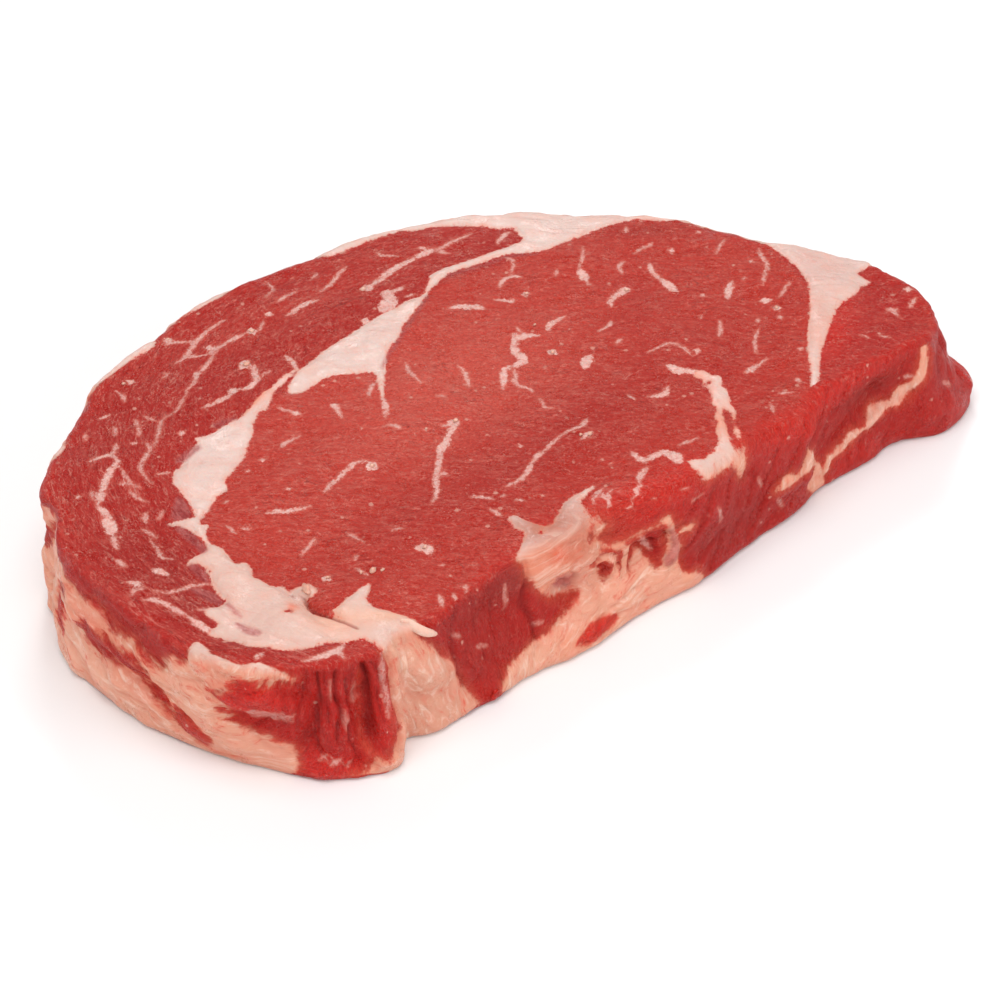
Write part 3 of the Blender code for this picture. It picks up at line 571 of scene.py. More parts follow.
WALL_LEAN = (
    # the left end
    ((257.5, 1.1), (259, 0.95), (260, 0.80), (263, 0.76), (265, 0.80), (268, 0.78), (271, 0.68),
     (275, 0.69), (278, 0.72), (283, 0.69), (286, 0.66), (287, 0.70), (289, 0.85), (290.5, 1.1)),
    ((253, 0.64), (255.5, 0.62), (258, 0.68), (257, 0.75), (254, 0.74)),
    ((241, 0.15), (244, 0.18), (243.5, 0.33), (241.5, 0.35)),
    ((250, 0.27), (253, 0.25), (254, 0.4), (253, 0.58), (250.5, 0.6), (249.8, 0.4)),
    ((261, 0.55), (264, 0.60), (270, 0.64), (277, 0.62), (282, 0.60), (283, 0.55), (281, 0.48),
     (285, 0.40), (288, 0.30), (290, 0.22), (287, 0.25), (283, 0.33), (279, 0.40), (276, 0.45),
     (272, 0.42), (268, 0.38), (264, 0.40), (261, 0.48)),
    ((288, 0.38), (291, 0.35), (294, 0.28), (297, 0.2), (295, 0.12), (292, 0.10), (289, 0.17), (287, 0.25)),
    ((290, 0.88), (293, 0.88), (293.5, 1.05), (290, 1.05)),
    # the red lump and the slices at the front corner
    ((300, 0.75), (304, 0.86), (308, 0.91), (313, 0.90), (316, 0.97), (320, 1.1), (328, 1.1),
     (328.6, 0.85), (328.9, 0.7), (328.7, 0.4), (328.2, 0.3), (329.4, 0.2), (328, 0.08), (325, 0.05),
     (317, -0.1), (315, 0.2), (314, 0.3), (311, 0.35), (307, 0.37), (303, 0.41), (300, 0.47),
     (302, 0.52), (299, 0.57), (301, 0.62), (298, 0.68)),
    ((327.0, 1.1), (332.5, 1.1), (334, 0.8), (334.5, 0.6), (334, 0.4), (335, 0.28), (333, 0.2),
     (330, 0.15), (327, 0.3), (327, 0.6), (327, 0.85)),
    # the folds of the fat knob, its pocket and the vivid spot under it
    ((388, 0.80), (390, 0.82), (389.5, 0.87), (388, 0.86)),
    ((389.6, 0.6), (392, 0.61), (393.7, 0.55), (393.2, 0.47), (391.5, 0.4), (390.6, 0.5)),
    ((387.8, 0.64), (391, 0.71), (394.6, 0.68), (396.6, 0.58), (396.2, 0.46), (395, 0.47), (395.2, 0.58),
     (393.6, 0.645), (391, 0.665), (388.6, 0.61)),
    ((396, 0.73), (399.6, 0.67), (400.8, 0.55), (398.7, 0.4), (397.5, 0.42), (399.3, 0.55), (398.6, 0.63),
     (396, 0.70)),
    ((397.5, 0.7), (399, 0.6), (401, 0.5), (403, 0.42), (403, 0.36), (405, 0.33), (406.5, 0.4),
     (407.5, 0.55), (407, 0.65), (405.5, 0.72), (400, 0.71)),
    ((381, 0.12), (383, 0.2), (387, 0.22), (391, 0.18), (393.5, 0.14), (391, 0.09), (386, 0.08),
     (382, 0.09)),
    # the back: lean that reaches the upper edge, and long streaks of lean in the fat cover
    ((129, 1.2), (133, 1.01), (138, 0.95), (144, 0.91), (150, 0.96), (155, 1.03), (158, 1.2)),
    ((170, 1.2), (174, 1.0), (177, 0.93), (180, 1.01), (183, 1.2)),
    ((198, 1.2), (202, 1.01), (206, 0.93), (210, 0.90), (214, 0.95), (218, 1.04), (220, 1.2)),
    ((220, 1.2), (225, 1.0), (230, 0.93), (235, 0.88), (240, 0.93), (248, 0.87), (254, 0.86), (262, 0.82),
     (262, 1.2)),
    ((34, 0.1), (38, 0.35), (44, 0.52), (50, 0.45), (48, 0.3), (41, 0.12)),
    ((96, 0.92), (116, 0.84), (136, 0.79), (156, 0.84), (172, 0.78), (196, 0.69), (214, 0.63), (228, 0.68),
     (214, 0.71), (196, 0.79), (174, 0.9), (156, 0.95), (136, 0.87), (118, 0.91)),
    ((44, 0.24), (60, 0.34), (84, 0.36), (110, 0.28), (134, 0.38), (160, 0.5), (186, 0.48), (212, 0.36),
     (222, 0.28), (210, 0.26), (188, 0.38), (160, 0.4), (134, 0.27), (110, 0.2), (84, 0.25), (60, 0.2)),
    ((56, 0.62), (66, 0.74), (78, 0.76), (92, 0.66), (80, 0.64), (66, 0.58)),
    ((120, 0.62), (136, 0.6), (148, 0.66), (138, 0.67), (126, 0.68)),
    ((204, 0.15), (212, 0.2), (222, 0.14), (228, 0.06), (214, 0.05)),
    ((228, 0.5), (233, 0.62), (238, 0.8), (243, 0.84), (240, 0.66), (234, 0.5)),
)
WALL_VEINS = (
    (0.7, (332.9, 1.0), (332.6, 0.8), (332.8, 0.62), (332.5, 0.46)), (0.25, (321.9, 0.86), (321.8, 0.72)),
    (0.25, (327.0, 0.78), (327.2, 0.6)), (0.3, (324.3, 0.6), (324.5, 0.44)),
    (0.7, (304.5, 0.55), (308, 0.57), (312, 0.56), (315, 0.6)),
    (0.6, (305.5, 0.61), (309, 0.6), (312.5, 0.62)), (0.5, (306, 0.5), (310, 0.53), (314.5, 0.53)),
    (0.45, (366.5, 0.85), (367, 0.65)), (0.4, (419, 0.65), (420, 0.5)), (0.5, (438.5, 0.33), (441, 0.18)),
    (0.8, (400, 0.7), (402, 0.58), (404, 0.47)), (0.4, (352, 0.72), (354, 0.66)),
    (0.35, (358, 0.5), (360.5, 0.46)),
    (0.35, (372.5, 0.4), (375, 0.38)), (0.4, (433, 0.62), (434.5, 0.5)), (0.4, (413, 0.8), (416, 0.84)),
    (0.4, (489, 0.5), (491, 0.42)), (0.4, (494, 0.62), (497, 0.56)), (0.9, (480, 0.7), (481.5, 0.67)),
    (0.45, (319.4, 0.2), (320.4, 0.24)), (0.9, (321.4, 0.17), (322.8, 0.21)),
    (0.4, (324.2, 0.14), (324.9, 0.17)),
    (0.9, (398, 0.98), (399.5, 0.91)), (0.8, (404, 0.99), (405, 0.91)),
    (0.8, (410, 0.97), (412.5, 0.91)), (0.7, (416, 0.98), (417, 0.90)), (0.6, (303, 0.93), (307, 0.97)),
)
WALL_FILMS = (
    ((379, 0.68), (381.5, 0.66), (384, 0.6), (384, 0.5), (381.5, 0.5), (379.5, 0.56)),
    ((407, 0.7), (409, 0.6), (410, 0.45), (409.5, 0.35), (406.5, 0.32), (406, 0.38), (408, 0.5)),
)
# How far from a border its distance is followed, in millimetres; how far a vein's mark reaches; and
# the distance kept where no vein is near.
FAR = 6.0
VEIN_REACH = 2.5
NO_VEIN = 3.0
# The share of a vein's width that is lost towards its ends, the margin beside it, and how steeply its
# mark drops off past the margin.
VEIN_TAPER = 0.75
VEIN_MARGIN = 0.5
VEIN_DROP = 4.0


def spread(outline, steps=4):
    """An outline made smooth: the ring curve through its points, with a few steps between two."""
    ring = np.array(outline, float)
    return closed_curve(ring, np.arange(len(ring) * steps) / steps)


def line_gap(places, start, end):
    """Distance from places to one straight stretch: signed by the side of the stretch they are on, and
    how far along it the nearest point is, from 0 to 1."""
    run = end - start
    length = max(np.hypot(*run), 1e-9)
    offset = places - start
    at = np.clip(offset @ run / length**2, 0.0, 1.0)
    gap = np.hypot(*(offset - at[:, None] * run).T)
    side = run[0] * offset[:, 1] - run[1] * offset[:, 0]
    return np.where(side < 0.0, -gap, gap), at


def depth_inside(places, outline, reach=FAR):
    """Distance to a closed outline, positive inside: the nearest stretch of it, with the side told by
    counting how often a ray from the place crosses it. Places further off get minus the reach."""
    ring = spread(outline)
    low, high = ring.min(axis=0) - reach, ring.max(axis=0) + reach
    near = np.flatnonzero(((places > low) & (places < high)).all(axis=1))
    depth = np.full(len(places), -reach)
    if not len(near):
        return depth
    local = places[near]
    gap = np.full(len(near), 1e9)
    inside = np.zeros(len(near), bool)
    for start, end in zip(ring, np.roll(ring, -1, axis=0)):
        gap = np.minimum(gap, np.abs(line_gap(local, start, end)[0]))
        spans = (start[1] > local[:, 1]) != (end[1] > local[:, 1])
        rise = end[1] - start[1] if end[1] != start[1] else 1e-9
        inside ^= spans & (local[:, 0] < start[0] + (end[0] - start[0]) * (local[:, 1] - start[1]) / rise)
    depth[near] = np.maximum(np.where(inside, gap, -gap), -reach)
    return depth


def depth_of_all(places, outlines):
    """The deepest of the distances to several outlines."""
    depth = np.full(len(places), -FAR)
    for outline in outlines:
        depth = np.maximum(depth, depth_inside(places, outline))
    return depth


def open_curve(line, steps=4):
    """A smooth open line through its points: the ring curve's cubic, with the end points doubled."""
    line = np.array(line, float)
    if len(line) < 3:
        return line
    ring = np.concatenate([[2 * line[0] - line[1]], line, [2 * line[-1] - line[-2]]])
    return closed_curve(ring, np.arange(steps, (len(line)) * steps + 1) / steps)


def lay_veins(places, veins, side, half):
    """Adds veins to the two arrays: the signed distance to the nearest vein, and that vein's half
    width there, which swells from both ends and drops below nothing away from the vein."""
    for width, *line in veins:
        curve = open_curve(line)
        low, high = curve.min(axis=0) - VEIN_REACH, curve.max(axis=0) + VEIN_REACH
        near = np.flatnonzero(((places > low) & (places < high)).all(axis=1))
        if not len(near):
            continue
        steps = len(curve) - 1
        for step in range(steps):
            gap, at = line_gap(places[near], curve[step], curve[step + 1])
            share = (step + at) / steps
            here = 0.5 * width * (1.0 - VEIN_TAPER * np.abs(2.0 * share - 1.0) ** 3)
            here = here - VEIN_DROP * np.clip(np.abs(gap) - here - VEIN_MARGIN, 0.0, 1.0)
            better = here - np.abs(gap) > half[near] - np.abs(side[near])
            chosen = near[better]
            side[chosen] = gap[better]
            half[chosen] = here[better]


# Each place on the face by its plan, and on the wall by the edge distance and the height along it.
plan = points[:, :2].copy()
WALL_HEIGHT = THICKNESS
wall_place = np.column_stack([along, share * WALL_HEIGHT])
on_wall = wall > 0.0
on_face = wall < 1.0
SCALE = np.array([1.0, WALL_HEIGHT])


def on_the_wall(outlines):
    """Outlines of the wall with the share of the height turned into millimetres."""
    return [np.array(outline, float) * SCALE for outline in outlines]


def two_sheets(face_value, wall_value, far):
    """Joins a value worked out on the face with one worked out on the wall, blended over the edge."""
    face = np.full(len(points), far)
    side = np.full(len(points), far)
    face[on_face] = face_value(plan[on_face])
    side[on_wall] = wall_value(wall_place[on_wall])
    return face * (1.0 - wall) + side * wall


def wall_fat_depth(spot):
    """Depth in the wall's fat: the long cover of the back and left end, or a patch of its own, less
    the lean that shows through."""
    cover = np.minimum(spot[:, 0] - WALL_COVER[0], WALL_COVER[1] - spot[:, 0])
    depth = np.maximum(np.clip(cover, -FAR, FAR), depth_of_all(spot, on_the_wall(WALL_FAT)))
    return np.minimum(depth, -depth_of_all(spot, on_the_wall(WALL_LEAN)))


def band_depth(spot, bands):
    """Depth in bands of even width that follow a line: half the width less the distance to it."""
    depth = np.full(len(spot), -FAR)
    for width, *line in bands:
        curve = open_curve(line, 2)
        for a, b in zip(curve[:-1], curve[1:]):
            depth = np.maximum(depth, width / 2.0 - np.abs(line_gap(spot, a, b)[0]))
    return depth


fat = two_sheets(
    lambda spot: np.minimum(depth_of_all(spot, FACE_FAT), -depth_of_all(spot, FACE_LEAN)),
    wall_fat_depth,
    -FAR,
)
film = two_sheets(
    lambda spot: np.maximum(depth_of_all(spot, FACE_FILMS), band_depth(spot, FACE_FILM_LINES)),
    lambda spot: depth_of_all(spot, on_the_wall(WALL_FILMS)),
    -FAR,
)
crack = two_sheets(
    lambda spot: -band_depth(spot, ((0.0, *CRACK),)),
    lambda spot: np.full(len(spot), FAR),
    FAR,
)
crack[points[:, 2] < CRACK_LOWEST] = FAR
vein_side = np.full(len(points), NO_VEIN)
vein_half = np.full(len(points), -NO_VEIN)
wall_veins = [(width, *(np.array(line) * SCALE)) for width, *line in WALL_VEINS]
for chosen, spots, veins in ((wall < 0.5, plan, FACE_VEINS), (wall >= 0.5, wall_place, wall_veins)):
    side_gap, half = vein_side[chosen], vein_half[chosen]
    lay_veins(spots[chosen], veins, side_gap, half)
    vein_side[chosen], vein_half[chosen] = side_gap, half


# The slice's relief and tones. Fat stands a little proud of the lean with a groove between, the wall is
# folded and torn into slices at the front corner, and each muscle has its own red.


def ease(low, high, value):
    """0 below low, 1 above high, and the smooth S curve 3t^2 - 2t^3 between."""
    t = np.clip((value - low) / (high - low), 0.0, 1.0)
    return t * t * (3.0 - 2.0 * t)


def lattice_noise(place, seed):
    """Smooth random field between -1 and 1: a random value at each whole-number corner, blended by
    S curves along the three axes."""
    base = np.floor(place).astype(np.int64)
    t = place - base
    t = t * t * (3.0 - 2.0 * t)
    total = np.zeros(len(place))
    for corner in np.ndindex(2, 2, 2):
        spot = base + np.array(corner)
        mixed = spot[:, 0] * 73856093 ^ spot[:, 1] * 19349663 ^ spot[:, 2] * 83492791 ^ seed * 2654435761
        mixed = (mixed ^ (mixed >> 13)) * 1274126177 & 0x7FFFFFFF
        mixed = (mixed ^ (mixed >> 16)) & 0xFFFF
        weight = np.prod(np.where(corner, t, 1.0 - t), axis=1)
        total += weight * (mixed / 32767.5 - 1.0)
    return total


# The run of the fibres. On the face: the eye's lie across, the cap's follow its curve. On the wall: the
# distance along the edge, and how many degrees the fibres rise there from the edge's direction.
EYE_TURN = np.radians(-36.0)
CAP_MIDDLE = (-10.0, -10.0)
CAP_RADIUS = 65.0
MID_LEVEL = 13.0
# The regions' fibre places are kept apart by this much of a third coordinate.
REGION_GAP = 40.0
WALL_RUNS = (
    (0, 75), (24, 60), (50, 10), (230, -10), (262, -22), (296, -14), (308, 20), (319, 84), (330, 92),
    (340, 112), (352, 104), (366, 84), (376, 40), (386, 4), (404, 8), (416, 50), (440, 62), (470, 74),
    (513, 75),
)
CAP = (
    (-36, 20), (-62, 8), (-72, -6), (-78, -30), (-64, -62), (-110, -62), (-110, 40), (-40, 75), (40, 65),
    (44, 34), (10, 34),
)
TAIL = ((82, 5), (76, -16), (60, -34), (50, -48), (110, -48), (110, 0))
in_cap = depth_inside(plan, CAP)
in_tail = depth_inside(plan, TAIL)


def fibre_places(spots, distance, region):
    """Places measured along and across the fibres. Eye (region 0): turned plan. Cap (1): angle about
    its middle times a mean radius, and distance from the middle. Wall (2): the run and rise of a
    fibre's direction, added up along the edge, plus the height turned by that direction."""
    x, y, z = spots.T
    eye = [x * np.cos(EYE_TURN) + y * np.sin(EYE_TURN), y * np.cos(EYE_TURN) - x * np.sin(EYE_TURN)]
    cap_turn = np.arctan2(y - CAP_MIDDLE[1], CAP_MIDDLE[0] - x)
    cap = [cap_turn * CAP_RADIUS, np.hypot(x - CAP_MIDDLE[0], y - CAP_MIDDLE[1])]
    fine = np.arange(-20.0, around + 20.0, 0.25)
    turn = np.radians(np.interp(fine % around, *np.array(WALL_RUNS, float).T))
    run, rise = np.cumsum(np.cos(turn)) * 0.25, np.cumsum(np.sin(turn)) * 0.25
    here = np.interp(distance, fine, turn)
    level = z - MID_LEVEL
    wall = [
        np.interp(distance, fine, run) + level * np.sin(here),
        level * np.cos(here) - np.interp(distance, fine, rise),
    ]
    places = np.choose(region, [eye[0], cap[0], wall[0]]), np.choose(region, [eye[1], cap[1], wall[1]])
    return np.column_stack([*places, region * REGION_GAP])


# Grooves between the slices at the front corner: distance along the edge, half width, depth, and the
# share of the height where it runs out.
SLICE_GROOVES = (
    (316.2, 0.7, 0.6, 0.32), (319.2, 0.5, 1.1, 0.12), (320.7, 0.4, 0.7, 0.36), (323.1, 0.6, 1.3, 0.22),
    (325.6, 0.4, 0.9, 0.05), (328.7, 0.7, 1.6, 0.14), (331.0, 0.5, 0.7, 0.34), (334.4, 0.6, 1.1, 0.0),
    (337.8, 0.5, 0.5, 0.3), (352.6, 0.8, 0.7, 0.1), (371.4, 0.9, 0.9, 0.1),
)
# Curled folds: middle along the edge and share of the height, reach, spacing of the folds and depth.
CURLS = ((390.5, 0.50, 7.5, 2.6, 0.5), (380.5, 0.54, 5.5, 2.2, 0.4), (403.0, 0.50, 6.5, 3.0, 0.4))

# Heights of the relief in millimetres: the fat's step, the lumps, the grit and the furrows of the face
# and of the side, the grooves' wobble, the crack, and the nodules at the foot and at the rim.
FAT_STEP = 0.25
FACE_LUMPS = 0.12
FACE_GRIT = 0.07
FACE_FURROW = 0.22
SIDE_LUMPS = 0.50
SIDE_GRIT = 0.18
SIDE_FURROW = 0.50
WOBBLE = 1.2
CRACK_DEPTH = 0.7
FOOT_NODULES = 1.1
RIM_NODULES = 0.4
# Half width of the groove beside the fat, and of the crack.
GROOVE_WIDTH = 0.6
# The foot's lowest stretch stays flat, and the relief comes in over this height above it.
FLAT_FOOT = 0.5
FADE_IN = 3.0

x, y, z = points.T
normals = point_normals(points, faces)
on_side = ease(0.3, 1.0, wall)
lumps = lattice_noise(points / 5.0, 3) * 0.6 + lattice_noise(points / 2.2, 4) * 0.4
grit = lattice_noise(points / 1.2, 5)
region = np.where(wall > 0.5, 2, np.where(in_cap > 0.0, 1, 0))
grain = fibre_places(points, along, region)
furrow = 1.0 - 2.0 * np.abs(lattice_noise(grain / np.array([14.0, 3.2, 1.0]), 6))
relief = FAT_STEP * ease(-0.5, 0.9, fat) - FAT_STEP * np.exp(-((fat / GROOVE_WIDTH) ** 2))
face_relief = FACE_LUMPS * lumps + FACE_GRIT * grit - FACE_FURROW * ease(0.55, 1.0, furrow)
low_fade = np.clip(z / 4.0, 0.0, 1.0)
side_relief = SIDE_LUMPS * lumps + SIDE_GRIT * grit - SIDE_FURROW * ease(0.5, 1.0, furrow) * low_fade
relief += (1.0 - on_side) * face_relief + on_side * side_relief
wobble = WOBBLE * lattice_noise(np.column_stack([z / 5.5, along / 9.0, np.zeros(len(z))]), 7)
# Painted shade for the grooves between the slices, the hollows of the curls and the furrows, kept at each
# point for the shader.
groove_shade = np.zeros(len(points))
for place, half_width, depth, low in SLICE_GROOVES:
    upright = ease(low, low + 0.25, share) * ease(1.02, 0.88, share) * on_side
    cut = upright * np.exp(-(((along + wobble - place) / half_width) ** 2))
    relief -= depth * cut
    groove_shade = np.maximum(groove_shade, cut * min(depth, 1.0))
for place, level, reach, spacing, depth in CURLS:
    right, up = along - place, (share - level) * WALL_HEIGHT
    away = np.hypot(right, up)
    turned = ease(-0.3, 0.5, (right + up) / np.maximum(away, 0.5) / 1.4)
    fold = np.cos(2.0 * np.pi * (away + wobble) / spacing) * np.exp(-((away / reach) ** 4)) * turned
    relief += on_side * depth * fold
    groove_shade = np.maximum(groove_shade, on_side * 0.7 * np.clip(-fold, 0.0, 1.0))
furrow_shade = on_side * 0.5 * ease(0.55, 1.0, furrow) + (1.0 - on_side) * 0.3 * ease(0.6, 1.0, furrow)
groove_shade = np.maximum(groove_shade, furrow_shade)
relief -= CRACK_DEPTH * np.exp(-((crack / GROOVE_WIDTH) ** 2))
nodules = lattice_noise(np.column_stack([along / 3.4, z / 5.0, x * 0]), 8)
nodules *= 0.6 + 0.6 * lattice_noise(np.column_stack([along / 19.0, x * 0, x * 0]), 10)
at_foot = on_side * ease(0.25, 0.02, share)
at_rim = ease(0.0, 0.5, wall) * ease(0.7, 1.0, share)
relief += nodules * (FOOT_NODULES * at_foot + RIM_NODULES * at_rim)
relief[z < FLAT_FOOT] *= 0.0
points = points + normals * (relief * (0.3 + 0.7 * np.clip(z / FADE_IN, 0.0, 1.0)))[:, None]


def linear(red, green, blue):
    """A screen colour, 0 to 255, as the linear light that the shader works in."""
    value = np.array([red, green, blue]) / 255.0
    return np.where(value <= 0.04045, value / 12.92, ((value + 0.055) / 1.055) ** 2.4)


EYE_RED = linear(197, 42, 25)
CAP_RED = linear(179, 18, 6)
EDGE_RED = linear(198, 28, 12)
SIDE_RED = linear(182, 15, 3)
TAIL_RED = linear(182, 14, 4)
SEAM_CREAM = linear(214, 184, 174)
LOW_CREAM = linear(210, 173, 160)
SIDE_CREAM = linear(218, 150, 124)

# How strong the edge's red is at the rim, and how far inwards it reaches.
EDGE_SHARE = 0.65
EDGE_REACH = 3.0
# The green of a tint tells whether it is for lean or for fat: on the face one limit parts the two, and
# on the wall tints between the limits are for both.
LEAN_BELOW = 90
WALL_FAT_FROM = 60

# Places where the flesh is redder, darker or more orange, and a few rows, marked below, that are
# painted sheen or painted shade. On the face: x and y; on the wall: distance along the edge and share
# of the height. Then half length, half height, turn, colour and strength.
FACE_TINTS = (
    ((-8, -48), 7, 4, 0, (205, 29, 14), 0.8), ((-8.5, -9.6), 1.4, 1.1, 0, (200, 24, 11), 0.9),
    ((8, -46), 18, 4, 0, (214, 30, 14), 0.8), ((38, -25.5), 1.3, 1.0, 0, (190, 24, 13), 0.8),
    ((-70.5, -38), 1.0, 1.4, 0, (214, 96, 62), 0.8), ((-58, -50), 8, 2.2, -30, (222, 160, 128), 0.6),
    ((-67, -45), 4, 6, 20, (228, 168, 140), 0.6), ((-40, 21), 6, 1.4, 25, (216, 120, 86), 0.7),
    ((0, -24), 60, 13, 8, (172, 22, 11), 0.68), ((-17, -46), 10, 6, 0, (170, 92, 68), 0.9),
    ((84, -6), 12, 12, 0, (208, 170, 160), 0.7), ((70, -22), 14, 5, 55, (216, 150, 132), 0.5),
    ((36, -22), 5, 5, 0, (222, 130, 102), 0.7), ((32, -38), 6, 10, 60, (224, 126, 90), 0.65),
    ((42, -30), 14, 9, 60, (186, 28, 16), 0.6),
    ((-85, -20), 7, 20, 0, (150, 19, 12), 0.5), ((-64, 33), 22, 9, 35, (168, 24, 15), 0.4),
    ((62, 26), 14, 4, -30, (150, 27, 19), 0.4), ((-94, -10), 4, 12, 0, (176, 24, 14), 0.6),
    # Next line, first tint: the lighter pink over the eye's middle is painted sheen.
    ((-6, 4), 33, 17, 14, (220, 86, 69), 0.68), ((72, -26), 13, 4, 38, (220, 30, 12), 0.8),
    # Next line: the lighter red along the cap's back is painted sheen.
    ((-12, 46), 34, 7, 5, (200, 50, 36), 0.6),
    ((-62, -20), 10, 14, 0, (204, 56, 40), 0.3), ((44, 4), 14, 8, 30, (182, 26, 14), 0.5),
)
WALL_TINTS = (
    ((307, 0.70), 9, 7, 0, (224, 24, 7), 0.95), ((301, 0.72), 4, 4, 0, (214, 92, 60), 0.7),
    ((312, 0.47), 7, 2.0, 0, (176, 16, 8), 0.6), ((321, 0.10), 8, 4.0, 0, (216, 26, 9), 0.9),
    ((332, 0.50), 2.5, 9, 0, (206, 22, 8), 0.8), ((322, 0.65), 5, 7, 0, (190, 14, 5), 0.8),
    ((363, 0.85), 12, 5, 0, (150, 18, 7), 0.7), ((360, 0.40), 9, 6, 0, (172, 26, 15), 0.6),
    ((357, 0.12), 6, 4, 0, (196, 27, 14), 0.8), ((368, 0.85), 3, 4.5, 0, (138, 19, 12), 0.6),
    ((405, 0.93), 14, 4, 0, (222, 34, 14), 0.9), ((424, 0.80), 16, 6, 0, (186, 24, 13), 0.7),
    ((446, 0.93), 12, 5, 0, (226, 34, 12), 0.8), ((425, 0.35), 14, 6, 0, (162, 18, 7), 0.7),
    # Next line, first tint: the dark red in the hollow at 470 is painted shade.
    ((470, 0.74), 8, 4, 0, (146, 18, 10), 0.8), ((466, 0.14), 14, 4, 0, (202, 24, 9), 0.8),
    ((470, 0.45), 17, 7, 0, (220, 166, 148), 0.75),
    ((462, 0.95), 16, 3.5, 0, (218, 30, 13), 0.8), ((488, 0.60), 8, 9, 0, (176, 16, 6), 0.7),
    ((499, 0.20), 9, 6, 0, (196, 22, 9), 0.8),
    ((387, 0.15), 8, 3.5, 0, (232, 30, 10), 0.95), ((379, 0.14), 4, 3, 0, (222, 120, 84), 0.8),
    ((256, 0.70), 5, 3, 0, (140, 27, 16), 0.7), ((252, 0.42), 4, 7, 0, (214, 52, 27), 0.6),
    ((272, 0.52), 14, 3.4, -20, (216, 92, 60), 0.7), ((292, 0.25), 7, 3, -20, (210, 48, 25), 0.7),
    ((296, 0.60), 9, 5, 0, (230, 164, 138), 0.6), ((262, 0.20), 12, 5, 0, (232, 180, 156), 0.6),
    ((310, 0.20), 9, 4, 0, (226, 158, 134), 0.6), ((345, 0.40), 9, 9, 0, (204, 144, 120), 0.7),
    ((338, 0.80), 3, 5, 0, (222, 170, 146), 0.7), ((384, 0.88), 10, 4, 0, (172, 86, 62), 0.9),
    ((382, 0.56), 6, 4, 0, (206, 140, 124), 0.7), ((395, 0.42), 9, 4, 0, (228, 158, 132), 0.6),
    ((377, 0.78), 8, 5, 0, (220, 122, 90), 0.65), ((379.5, 0.88), 1.6, 1.2, 0, (220, 92, 56), 0.9),
    ((372, 0.12), 12, 3, 0, (230, 172, 146), 0.6),
    ((245, 0.80), 10, 6, 0, (228, 176, 158), 0.6), ((232, 0.40), 12, 9, 0, (224, 150, 122), 0.5),
)


def tinted(tone, spots, tints, cover):
    """Shifts tones towards each tint's colour by a turned Gaussian around its place."""
    for place, half_length, half_height, turn, colour, strength in tints:
        c, s = np.cos(np.radians(turn)), np.sin(np.radians(turn))
        right, up = (spots - np.array(place)).T
        gap = ((right * c + up * s) / half_length) ** 2 + ((up * c - right * s) / half_height) ** 2
        weight = (strength * cover * np.exp(-gap))[:, None]
        tone = tone * (1.0 - weight) + linear(*colour) * weight
    return tone


# The distance of each point of the face to the rim, worked out for some thousands at a time.
rim_points = points[(wall > 0.25) & (wall < 0.45)][::4, :2]
rim_gap = np.full(len(points), 0.0)
upper = np.flatnonzero(wall <= 0.3)
for some in np.array_split(upper, len(upper) // 4000 + 1):
    rim_gap[some] = np.sqrt(((plan[some, None] - rim_points[None]) ** 2).sum(axis=2).min(axis=1))

cap = ease(-1.0, 1.0, in_cap)[:, None]
tail = ease(-1.0, 1.0, in_tail)[:, None]
side = ease(0.2, 0.9, wall)[:, None]
near_rim = EDGE_SHARE * np.exp(-((rim_gap / EDGE_REACH) ** 2))[:, None]
lean_tone = EYE_RED * (1 - cap) * (1 - tail) + CAP_RED * cap + TAIL_RED * tail * (1 - cap)
lean_tone = lean_tone * (1 - near_rim) + EDGE_RED * near_rim
lean_tone = lean_tone * (1 - side) + SIDE_RED * side
# The seams turn to the lower seam's cream towards the near left corner.
low = ease(0.0, 1.0, (x + 30.0) / -40.0)[:, None] * ease(0.0, 1.0, -y / 20.0)[:, None]
fat_tone = SEAM_CREAM * (1 - low) + LOW_CREAM * low
fat_tone = fat_tone * (1 - side) + SIDE_CREAM * side
face_lean = [tint for tint in FACE_TINTS if tint[4][1] < LEAN_BELOW]
face_fat = [tint for tint in FACE_TINTS if tint[4][1] >= LEAN_BELOW]
wall_tints = [((s, q * WALL_HEIGHT), *rest) for (s, q), *rest in WALL_TINTS]
wall_lean = [tint for tint in wall_tints if tint[4][1] < LEAN_BELOW]
wall_fat = [tint for tint in wall_tints if tint[4][1] >= WALL_FAT_FROM]
lean_tone = tinted(tinted(lean_tone, plan, face_lean, 1.0 - wall), wall_place, wall_lean, wall)
fat_tone = tinted(tinted(fat_tone, plan, face_fat, 1.0 - wall), wall_place, wall_fat, wall)


